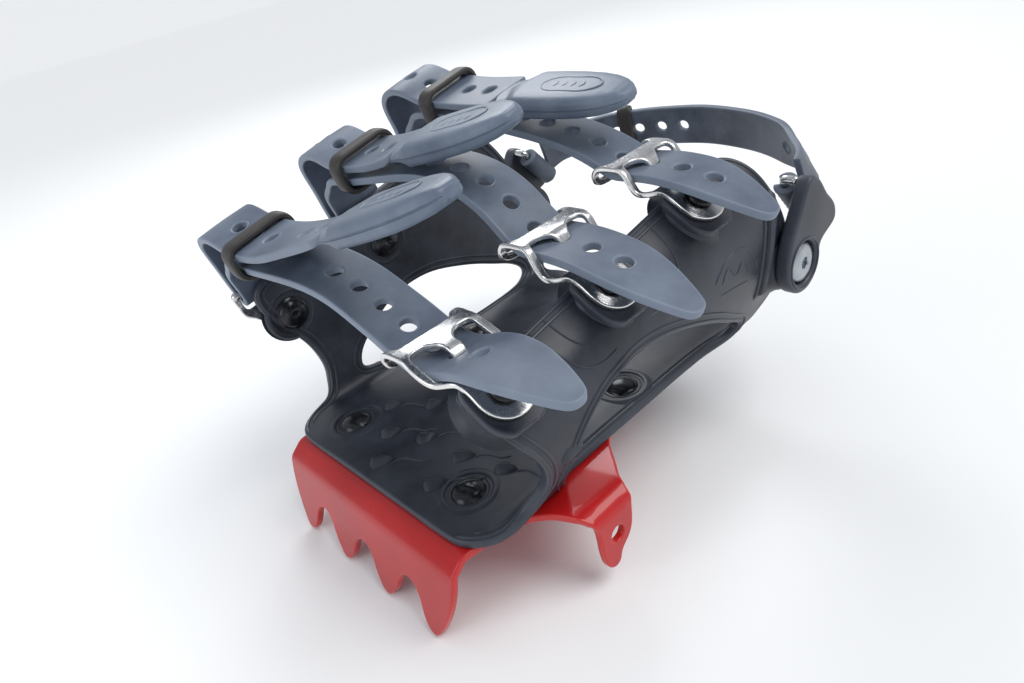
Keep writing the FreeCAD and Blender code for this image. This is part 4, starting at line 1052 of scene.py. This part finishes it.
def screws_and_nuts():
    """All the screws of the buckles and of the heel links, with the nuts inside the walls."""
    head_low = SHEET_T / 2 + GAP
    left_points = [(LOOP_TAIL_X, y, z) for _, y, z in LOOP_SCREWS]
    heel = [((side * HEEL_X, HEEL_Y, HEEL_Z), (side, 0, 0), seat) for side, seat in HEEL_SEATS]
    rows = (
        ("right_screws", "right_buckle_screws", BLACK_HARDWARE, "black_hardware",
         [button_screw(p, tail_normal(), RIGHT_SCREW_END, BUTTON_HEAD_R, head_low, BUTTON_DRIVE)
          for p in PEG_SCREWS]),
        ("left_screws", "left_buckle_screws", BLACK_HARDWARE, "black_hardware",
         [button_screw(p, (-1, 0, 0), LEFT_SCREW_END, BUTTON_HEAD_R, head_low, BUTTON_DRIVE)
          for p in left_points]),
        ("right_nuts", "right_inner_nuts", BLACK_HARDWARE, "black_hardware",
         [inner_nut(p, tail_normal(), RIGHT_NUT_SEAT) for p in PEG_SCREWS]),
        ("left_nuts", "left_inner_nuts", BLACK_HARDWARE, "black_hardware",
         [inner_nut(p, (-1, 0, 0), LEFT_NUT_SEAT) for p in left_points]),
        ("heel_screw_discs", "heel_screws", ZINC_STEEL, "plain_steel",
         [button_screw(p, n, seat - 2.0, HEEL_HEAD_R, HEEL_HEAD_LOW, HEEL_DRIVE) for p, n, seat in heel]),
        ("heel_nuts", "heel_inner_nuts", BLACK_HARDWARE, "black_hardware",
         [inner_nut(p, n, seat) for p, n, seat in heel]),
    )
    for name, cad_node, material, slot, parts in rows:
        put(name, parts, material, "harness", [cad_node], 30.0)


# ---------------------------------------------------------------- buckles

def peg_path(k):
    """Side view of a right buckle's middle, from the end of its tail to its inner end."""
    px, _, pz = PEG_SCREWS[k]
    rise, root = BAR_RISE[k], PEG_ROOTS[k]
    lift = SHEET_T / 2 / math.cos(TAIL_TILT)
    profile = [
        (-9.0, -6.5), (4.6, 3.3), (6.2, 4.2), (9.6, 4.25), (11.6, 4.6), (root - 2.8, rise - 1.2),
        (root - 0.6, rise), (root + 5.4, rise), (root + 8.6, rise - 0.6), (root + 10.6, rise - 3.4),
        (root + 10.4, rise - 7.4),
    ]
    top = rounded([(px - u, pz + w + lift) for u, w in profile], 1.9, 0.2, closed=False)
    return sideways(top, SHEET_T / 2)


def peg_buckle(k):
    """Right buckle, stamped in one: round tail, two rails, a strap bar with its peg, a curled lower bar."""
    point = PEG_SCREWS[k]
    path = peg_path(k)
    far = distances(path)
    rails = path_place(path, point[1])
    inner_end = far[-1]
    climb = np.maximum.accumulate(point[0] - path[:, 0]) + np.arange(len(path)) * 1e-6

    def u(inboard):
        return float(np.interp(inboard, climb, far))

    root = u(PEG_ROOTS[k])
    at_root = np.array([np.interp(root, far, path[:, 0]), np.interp(root, far, path[:, 1])])
    reach = PEG_ROOTS[k] - PEG_LEG
    curl = curve_through([(0.0, 0.0), (reach * 0.5, -0.5), (reach - 1.1, -1.7), (reach - 0.2, -3.4),
                          (reach, -6.6)], 0.1)
    curl_far = distances(curl)
    peg_length = curl_far[-1]

    def place(uv):
        flat = rails(uv)
        out = np.maximum(root - uv[:, 0], 0.0)
        x = at_root[0] + np.interp(out, curl_far, curl[:, 0])
        z = at_root[1] + np.interp(out, curl_far, curl[:, 1])
        peg = np.stack([x, flat[:, 1], z], 1)
        middle = ((np.abs(uv[:, 1]) < 6.0) & (out > 0) & (out < peg_length + 1.0))[:, None]
        return np.where(middle, peg, flat)

    half_w = BUCKLE_W / 2
    screw_at = u(0.0)
    half = [
        (screw_at - 7.9, 0.0), (screw_at - 6.9, 4.0), (screw_at - 4.0, 6.9), (screw_at, 8.0),
        (screw_at + 3.6, 8.0), (u(5.0), 8.3), (u(8.0), 9.8), (u(10.2), 11.8), (u(12.6), half_w),
        (root - 1.0, half_w), (root + 5.0, half_w), (root + 9.0, half_w), (inner_end - 4.0, half_w - 0.1),
        (inner_end - 1.2, half_w - 1.0), (inner_end - 0.1, half_w - 3.4), (inner_end, 4.0), (inner_end, 0.0),
    ]
    outline = curve_through(mirrored(half), step=0.45, closed=True)
    w = WINDOW_W / 2
    tongue = 2.15
    tip = root - peg_length
    window_end = min(u(8.6), tip - 1.2)
    outer = [
        (window_end, -w + 1.0), (window_end, w - 1.0), (window_end + 2.0, w), (root - 0.4, w),
        (root, w - 4.0), (root - 0.5, tongue + 2.6), (root - 3.0, tongue), (tip + 0.6, tongue - 0.1),
        (tip, 0.0), (tip + 0.6, -tongue + 0.1), (root - 3.0, -tongue), (root - 0.5, -tongue - 2.6),
        (root, -w + 4.0), (root - 0.4, -w), (window_end + 2.0, -w),
    ]
    inner = [(root + 4.8, -w), (root + 4.8, w), (inner_end - 2.2, w), (inner_end - 2.2, -w)]
    holes = [rounded(outer, 2.6, 0.4), rounded(inner, 2.2, 0.4), ring((screw_at, 0.0), BUCKLE_HOLE_R, 0.4)]
    frame_part = sheet(place, outline, holes, SHEET_T, edge=0.38, spacing=1.1)
    return put("peg_frame_" + NAMES[k], [frame_part], BUCKLE_STEEL,
               "buckle_" + NAMES[k], ["peg_buckle_" + NAMES[k]])


def leaned(points, k):
    """Points of a left buckle turned forward about its screw, and put in their place."""
    _, y, z = LOOP_SCREWS[k]
    cos, sin = math.cos(LEAN), math.sin(LEAN)
    turned_y = points[:, 1] * cos - points[:, 2] * sin
    turned_z = points[:, 1] * sin + points[:, 2] * cos
    return np.stack([points[:, 0], turned_y + y, turned_z + z], 1)


def loop_buckle(k):
    """Left buckle: upright tail plate, a step out, two rails, and a round bar for the strap."""
    path = rounded([
        (LOOP_TAIL_X, -9.0), (LOOP_TAIL_X, 4.6), (LOOP_X, 9.0), (LOOP_X, LOOP_BAR_H + 1.0),
    ], 1.6, 0.2, closed=False)
    upright = path_place(path, 0.0)

    def place(uv):
        return leaned(upright(uv), k)

    far = distances(path)

    def u(z):
        return float(np.interp(z, path[:, 1], far))

    half_w, w = BUCKLE_W / 2, WINDOW_W / 2
    half = [(u(-8.0), 0.0), (u(-7.0), 4.2), (u(-3.6), 7.4), (u(1.0), 8.3), (u(4.0), 10.4), (u(6.5), half_w),
            (u(10.0), half_w), (u(14.0), half_w), (u(15.0), half_w - 0.4), (u(15.0), 6.0), (u(15.0), 0.0)]
    outline = curve_through(mirrored(half), step=0.45, closed=True)
    window = rounded([(u(7.6), -w), (u(7.6), w), (u(13.4), w), (u(13.4), -w)], 1.6, 0.4)
    holes = [window, ring((u(0.0), 0.0), BUCKLE_HOLE_R, step=0.4)]
    frame_part = sheet(place, outline, holes, SHEET_T, edge=0.38, spacing=1.2)
    bar = np.array([(LOOP_X, y, LOOP_BAR_H) for y in np.linspace(-half_w, half_w, 9)])
    return put("bar_frame_" + NAMES[k], [frame_part, rod(leaned(bar, k), LOOP_BAR_R)], BUCKLE_STEEL,
               "strap_" + NAMES[k], ["loop_buckle_" + NAMES[k]])


# ---------------------------------------------------------------- straps

def loop_line(k):
    """Middle line of a strap round the left buckle's bar."""
    bar_z = LOOP_SCREWS[k][2] + LOOP_BAR_H * math.cos(LEAN)
    low = STRAP_OVER[k][-1][1]
    high = STRAP_BACK[k][0][1]
    turn_r = LOOP_BAR_R + GAP + STRAP_T / 2
    points = [(-54.4, low - 1.2), (-58.6, low - 4.4), (LOOP_X + turn_r, low - 9.0)]
    inner_drop = low - 9.0 - bar_z
    if inner_drop > 5.0:
        points.append((LOOP_X + turn_r, bar_z + inner_drop / 2))
    for angle in np.radians((0, -45, -90, -135, -180)):
        points.append((LOOP_X + turn_r * math.cos(angle), bar_z + turn_r * math.sin(angle)))
    points.append((LOOP_X - turn_r, (bar_z + high) / 2))
    points.append((LOOP_X - turn_r + 0.4, high - 5.0))
    return points


def strap_band(k):
    """Middle line and across direction of a strap, every quarter of a millimetre from its tip."""
    line = curve_through(list(STRAP_OVER[k]) + loop_line(k) + list(STRAP_BACK[k]), step=0.25)
    x, z = line[:, 0], line[:, 1]
    blend = smooth_step((x - LEAN_END_X) / LEAN_RUN)
    _, loop_y, loop_z = LOOP_SCREWS[k]
    y = (loop_y - (z - loop_z) * math.tan(LEAN)) * (1 - blend) + PEG_SCREWS[k][1] * blend
    middle = np.stack([x, y, z], 1)
    far = distances(middle)
    roll = LEAN * (1 - blend) + TAB_ROLL * smooth_step((far - far[-1] + TAB_ROLL_RUN) / TAB_ROLL_RUN)
    across = np.stack([np.zeros(len(x)), np.cos(roll), np.sin(roll)], 1)
    return middle, across


def strap_holes(k, middle, far):
    """Distances from the tip of a strap's holes."""
    peg_x, peg_z = PEG_SCREWS[k][0] - PEG_HOLE_IN, PEG_SCREWS[k][2] + BAR_RISE[k]
    early = far < UPPER_RUN
    miss = np.abs(middle[:, 0] - peg_x) + np.abs(middle[:, 2] - peg_z) + np.where(early, 0, 1e3)
    at_peg = far[np.argmin(miss)]
    first = -1 if k == 0 else -2
    over = [at_peg + HOLE_PITCH * i for i in range(first, 6)]
    return over + [far[-1] - LAST_HOLE - HOLE_PITCH * i for i in (0, 1, 3, 4, 5)]


def holed_band(place, length, holes):
    """Band with a leaf-shaped end, rounded rims and a raised lip round each hole on both faces."""
    half_w = STRAP_W / 2
    straight = np.arange(STRAP_TIP[-1][0] + 6.0, length - 2.0, 8.0)
    half = [(d, share * half_w) for d, share in STRAP_TIP] + [(d, half_w) for d in straight]
    half += [(length, half_w - 0.05), (length, half_w * 0.5), (length, 0.0)]
    outline = rounded(mirrored(half), 1.2, 0.7)
    loops = [ring((d, 0.0), HOLE_R, step=0.5) for d in holes]
    parts = [sheet(place, outline, loops, STRAP_BODY_T, edge=0.42, spacing=1.7)]
    for d in holes:
        for side in (1, -1):
            lip = ring((d, 0.0), HOLE_R + 0.55, step=0.45)
            parts.append(bead(place, lip, side * (STRAP_BODY_T / 2 - 0.10), radius=0.22, closed=True))
    return parts


def strap(k):
    """One strap, from its leaf-shaped end over the instep, round the left bar and back to its tab."""
    middle, across = strap_band(k)
    far = distances(middle)
    place = frames_place(middle, across, STRAP_CROWN)
    parts = holed_band(place, far[-1], strap_holes(k, middle, far))
    return put("webbing_" + NAMES[k], parts, STRAP_RUBBER, "strap_" + NAMES[k],
               ["strap_" + NAMES[k]])


def tab_section(half_w, top, bottom):
    """Closed cross-section of a pull tab: flat top, round shoulders, sides with a parting groove."""
    right = [
        (0.0, top), (half_w * 0.45, top), (half_w * 0.7, top - 0.10), (half_w * 0.82, top - 0.42),
        (half_w * 0.92, top - 1.1), (half_w - 0.25, top * 0.36), (half_w, 0.30), (half_w - 0.38, 0.08),
        (half_w - 0.38, -0.14), (half_w, -0.40), (half_w - 0.15, bottom * 0.5), (half_w - 0.7, bottom + 0.6),
        (half_w - 1.8, bottom + 0.1), (half_w * 0.5, bottom), (0.0, bottom),
    ]
    return mirrored(right, (-1, 1))


def pull_tab(k):
    """Moulded grip on a strap's end, with a shoulder, a parting line and a raised panel."""
    middle, across = strap_band(k)
    ahead = unit(middle[-1] - middle[-8])
    side = across[-1]
    ahead = unit(ahead - np.cross(ahead, side) * math.tan(TAB_DIP))
    side = unit(side - ahead * np.dot(side, ahead))
    up = np.cross(ahead, side)
    start = middle[-1]

    def at(u, v, h):
        return start + ahead * u + side * v + up * h

    table = np.array(TAB_OUTLINE)
    stations = np.concatenate([np.arange(-1.0, 44.0, 1.0), np.linspace(44.0, TAB_LENGTH, 22)])
    rings = []
    for u in stations:
        half_w, top, bottom = (np.interp(u, table[:, 0], table[:, i]) for i in (1, 2, 3))
        shoulder = 5.0 * smooth_step((14.0 - u) / 8.0)
        rings.append(np.array([
            at(u + shoulder * (abs(v) / half_w - 0.3), v, h) for v, h in tab_section(half_w, top, bottom)
        ]))
    body = loft(rings)

    def top_face(uv):
        return np.array([at(u, v, 3.42) for u, v in uv])

    panel = curve_through([(17.0, 0.0), (19.0, 3.2), (28.0, 4.4), (37.0, 3.6), (40.0, 0.0), (37.0, -3.6),
                           (28.0, -4.4), (19.0, -3.2)], 0.6, closed=True)
    parts = [body, bead(top_face, panel, 0.0, radius=0.26, closed=True)]
    for u in (23.0, 26.5, 30.0, 33.5):
        mark = curve_through([(u - 1.0, -1.8), (u, 0.0), (u - 1.0, 1.8)], step=0.4)
        parts.append(bead(top_face, mark, 0.0, radius=0.24))
    return put("grip_" + NAMES[k], parts, TAB_RUBBER, "strap_" + NAMES[k],
               ["pull_tab_" + NAMES[k]])


def moulded_loop(middle, across, upward, half_w, half_h, wall, length):
    """Rounded loop round a strap: a flat band with soft edges, a little fuller in its middle."""
    along = np.cross(across, upward)
    corner = half_h * 0.55 + 0.6
    flat = rounded([(-half_w, -half_h), (half_w, -half_h), (half_w, half_h), (-half_w, half_h)], corner, 0.6)
    flat = turned(flat, 1)
    tangent = unit(np.roll(flat, -1, 0) - np.roll(flat, 1, 0))
    out = np.stack([tangent[:, 1], -tangent[:, 0]], 1)
    section = [(0.0, -0.44), (0.22, -0.5), (0.7, -0.49), (0.93, -0.42), (1.0, -0.3), (1.04, 0.0), (1.0, 0.3),
               (0.93, 0.42), (0.7, 0.49), (0.22, 0.5), (0.0, 0.44)]
    rings = []
    for (v, h), (nv, nh) in zip(flat, out):
        rings.append(np.array([
            middle + across * (v + nv * t * wall) + upward * (h + nh * t * wall) + along * s * length
            for t, s in section
        ]))
    return loft(rings, closed=True)


def keeper(k):
    """Plastic loop round both runs of a strap."""
    middle, across = strap_band(k)
    far = distances(middle)
    early = np.flatnonzero(far < UPPER_RUN)
    late = np.flatnonzero(far >= UPPER_RUN)
    over = early[np.argmin(np.abs(middle[early, 0] - KEEPER_X))]
    back = late[np.argmin(np.abs(middle[late, 0] - KEEPER_X))]
    side = across[over]
    upward = middle[back] - middle[over]
    upward = unit(upward - side * np.dot(upward, side))
    centre = (middle[over] + middle[back]) / 2
    half_h = np.dot(middle[back] - middle[over], upward) / 2 + STRAP_T / 2 + KEEPER_EASE[k]
    ring_part = moulded_loop(centre, side, upward, STRAP_W / 2 + 0.8, half_h, wall=1.8, length=6.4)
    return put("loop_" + NAMES[k], [ring_part], KEEPER_PLASTIC, "keeper_" + NAMES[k],
               ["keeper_" + NAMES[k]])


# ---------------------------------------------------------------- heel strap

def tilted(parts):
    """Meshes of a heel sub-part turned about the heel screws into their position of rest."""
    cos, sin = math.cos(HEEL_TILT), math.sin(HEEL_TILT)
    turned_down = []
    for points, faces, rim_sheen_and_wear in parts:
        x, y, z = points[:, 0], points[:, 1] - HEEL_Y, points[:, 2] - HEEL_Z
        points = np.stack([x, HEEL_Y + y * cos - z * sin, HEEL_Z + y * sin + z * cos], 1)
        turned_down.append((points, faces, rim_sheen_and_wear))
    return turned_down


def heel_direction():
    """Direction of the heel bars, down towards the back."""
    return np.array([0.0, math.cos(HEEL_BAR_SLOPE), math.sin(HEEL_BAR_SLOPE)])


def on_side(parts, side):
    """Meshes made for the right side, mirrored when they are for the left, and turned into place."""
    return tilted([(points * (side, 1, 1), faces, rim_sheen_and_wear) for points, faces, rim_sheen_and_wear in parts])


def heel_link(side):
    """Moulded link: round hub with a recess, and an arm that widens up to the cross bar."""
    hub = [(HEEL_Y + HEEL_HUB_R * math.cos(a), HEEL_Z + HEEL_HUB_R * math.sin(a))
           for a in np.radians(np.arange(20, -196, -18))]
    arm = [(95.0, 39.0), (98.6, 48.0), (102.8, 54.6), (106.4, 54.0), (114.0, 47.6), (121.4, 41.6),
           (122.2, 38.0), (117.0, 33.8)]
    outline = curve_through(hub + arm, step=0.6, closed=True)
    x = HEEL_X + HEEL_LINK_T / 2

    def place(uv):
        belly = 0.5 * np.exp(-((uv[:, 0] - 108.0) ** 2 + (uv[:, 1] - 41.0) ** 2) / 90.0)
        return np.stack([np.full(len(uv), x) + belly, uv[:, 0], uv[:, 1]], 1)

    parts = [
        sheet(place, outline, [ring((HEEL_Y, HEEL_Z), HEEL_RECESS_R)], HEEL_LINK_T, edge=1.1, spacing=2.0),
        turned_part((HEEL_X, HEEL_Y, HEEL_Z), (1, 0, 0), [(8.6, 0.4), (8.6, 2.6), (7.0, 2.7), (2.3, 2.7)]),
        bead(place, ring((HEEL_Y, HEEL_Z), HEEL_RECESS_R + 1.2), HEEL_LINK_T / 2 - 0.05, radius=0.45,
             closed=True),
    ]
    name = SIDE_NAMES[side]
    return put("moulded_link_" + name, on_side(parts, side), HEEL_PLASTIC, "heel_strap",
               ["heel_link_" + name])


def heel_bar(side):
    """Bright wire bar bent at both ends into the link."""
    direction = heel_direction()
    outward = np.array([HEEL_X - HEEL_BAR[0] + 0.4, 0, 0])
    ends = [HEEL_BAR - direction * 11.0, HEEL_BAR + direction * 11.0]
    path = rounded([ends[0] + outward, ends[0], ends[1], ends[1] + outward], 2.0, 0.5, closed=False)
    name = SIDE_NAMES[side]
    return put("wire_bar_" + name, on_side([rod(path, HEEL_BAR_R)], side), BUCKLE_STEEL, "heel_strap",
               ["heel_bar_" + name])


def heel_band():
    """Middle line and across direction of the heel strap, round both bars and behind the heel."""
    half = [
        (62.0, 115.6, 50.4), (60.5, 121.0, 53.0), (54.0, 130.0, 56.0), (42.0, 139.0, 58.5),
        (28.0, 146.0, 60.5), (14.0, 150.0, 61.5), (0.0, 151.5, 62.0),
    ]
    line = curve_through(half + [(-x, y, z) for x, y, z in half[-2::-1]], step=0.5)
    ahead = unit(np.gradient(line, axis=0))
    blend = smooth_step((np.abs(line[:, 0]) - 40.0) / 20.0)[:, None]
    across = np.array([0.0, -0.36, 0.93]) * (1 - blend) - heel_direction() * blend
    across = unit(across - ahead * np.sum(across * ahead, 1, keepdims=True))
    return line, across


def heel_outline(length):
    """Flat outline of a length of the heel strap."""
    half_w = HEEL_STRAP_W / 2
    return rounded([(0, -half_w), (length, -half_w), (length, half_w), (0, half_w)], 0.8, 0.7)


def heel_eye(side):
    """The end of the heel strap wrapped round a bar."""
    direction = heel_direction()
    bar = HEEL_BAR * (side, 1, 1)
    radial = unit(np.cross(direction, (1.0, 0.0, 0.0)))
    radius = HEEL_BAR_R + 0.05 + HEEL_STRAP_T / 2
    angles = np.radians(np.linspace(-150, 170, 60))
    x_way = np.array([1.0, 0.0, 0.0])
    line = bar + radius * (np.cos(angles)[:, None] * x_way + np.sin(angles)[:, None] * radial)
    across = np.broadcast_to(-direction, line.shape)
    place = frames_place(line, across)
    outline = heel_outline(distances(line)[-1])
    return sheet(place, outline, [], HEEL_STRAP_T - 0.1, edge=0.6, spacing=1.5)


def heel_strap():
    """Band behind the heel, with an eye round each bar and its holes."""
    line, across = heel_band()
    length = distances(line)[-1]
    place = frames_place(line, across)
    holes = [length * step / HEEL_STEPS for step in HEEL_HOLE_STEPS]
    loops = [ring((d, 0.0), HEEL_HOLE_R) for d in holes]
    parts = [sheet(place, heel_outline(length), loops, HEEL_STRAP_T, edge=0.6, spacing=1.7)]
    parts += [heel_eye(1), heel_eye(-1)]
    for d in holes:
        for side in (1, -1):
            lip = ring((d, 0.0), HEEL_HOLE_R + 0.6)
            parts.append(bead(place, lip, side * (HEEL_STRAP_T / 2 - 0.1), radius=0.28, closed=True))
    return put("heel_band", tilted(parts), HEEL_STRAP, "heel_strap", ["heel_strap"])


def heel_keeper():
    """Plastic loop on the heel strap."""
    line, across = heel_band()
    at = int(len(line) * HEEL_KEEPER_STEP / HEEL_STEPS)
    ahead = unit(line[at + 1] - line[at - 1])
    upward = unit(np.cross(ahead, across[at]))
    half_w, half_t = HEEL_STRAP_W / 2 + HEEL_KEEPER_PLAY, HEEL_STRAP_T / 2 + HEEL_KEEPER_PLAY
    ring_part = moulded_loop(line[at], across[at], upward, half_w, half_t, wall=1.6, length=6.0)
    return put("heel_loop", tilted([ring_part]), KEEPER_PLASTIC, "heel_keeper",
               ["heel_keeper"])


# ---------------------------------------------------------------- stage

def add_camera():
    """Camera over the front right of the harness, rolled a little."""
    data = bpy.data.cameras.new("camera")
    data.sensor_width = 36.0
    data.lens = CAMERA_LENS
    data.clip_start = 0.01
    camera = new_object("camera", data)
    forward = Vector(CAMERA_FORWARD).normalized()
    up = Vector(CAMERA_UP).normalized()
    right = forward.cross(up).normalized()
    up = right.cross(forward)
    turn = Matrix((right, up, -forward)).transposed()
    camera.matrix_world = Matrix.Translation(CAMERA_PLACE) @ turn.to_4x4()
    bpy.context.scene.camera = camera


def area_light(name, place, size, watts, colour):
    """Soft square light that looks at the object."""
    data = bpy.data.lights.new(name, "AREA")
    data.size = size
    data.energy = watts
    data.color = colour
    light = new_object(name, data)
    light.location = place
    light.rotation_euler = (Vector((0, 0.05, 0.03)) - Vector(place)).to_track_quat("-Z", "Y").to_euler()


def broad_light(name, towards, strength, colour):
    """Very wide soft light from one direction, so that the far floor is as pale as the near floor."""
    data = bpy.data.lights.new(name, "SUN")
    data.energy = strength
    data.color = colour
    data.angle = math.radians(38.0)
    light = new_object(name, data)
    light.rotation_euler = Vector(towards).to_track_quat("Z", "Y").to_euler()


def add_stage():
    """Pale floor under the teeth that rises gently far away, pale world, and three soft lights."""
    mesh = bpy.data.meshes.new("floor")
    low = cad_box[0][2] - 0.0004
    corners = ((-1, -1), (1, -1), (1, 1), (-1, 1))
    floor_points = [(FLOOR_HALF * x, FLOOR_HALF * y, low) for x, y in corners]
    floor_points += [(RIM_HALF * x, RIM_HALF * y, RIM_RISE) for x, y in corners]
    sides = [(i, i + 4, (i + 1) % 4 + 4, (i + 1) % 4) for i in range(4)]
    mesh.from_pydata(floor_points, [], [(0, 1, 2, 3)] + sides)
    floor = new_object("floor", mesh)
    material, _, shader, _ = blank_material("pale floor", Roughness=0.7)
    shader.inputs["Base Color"].default_value = (0.86, 0.87, 0.88, 1.0)
    mesh.materials.append(material)
    world = bpy.data.worlds.new("world")
    world.use_nodes = True
    background = world.node_tree.nodes["Background"]
    background.inputs["Color"].default_value = (0.93, 0.96, 1.0, 1.0)
    background.inputs["Strength"].default_value = 0.55
    bpy.context.scene.world = world
    broad_light("key", (0.45, 0.30, 0.75), strength=1.75, colour=(1.0, 0.99, 0.97))
    area_light("fill", (-0.1, -0.75, 0.40), size=0.5, watts=1.8, colour=(0.93, 0.96, 1.0))
    area_light("back", (-0.55, 0.45, 0.55), size=0.35, watts=2.2, colour=(0.95, 0.97, 1.0))
    bpy.context.scene.view_settings.view_transform = "Standard"


add_camera()
add_stage()
crampon_plate()
harness_moulding()
floor_rivets()
screws_and_nuts()
for number in range(len(NAMES)):
    peg_buckle(number)
    loop_buckle(number)
    strap(number)
    pull_tab(number)
    keeper(number)
for which in (1, -1):
    heel_link(which)
    heel_bar(which)
heel_strap()
heel_keeper()
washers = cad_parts["floor_rivet_washers"].data.materials
washers.clear()
washers.append(ZINC_STEEL)
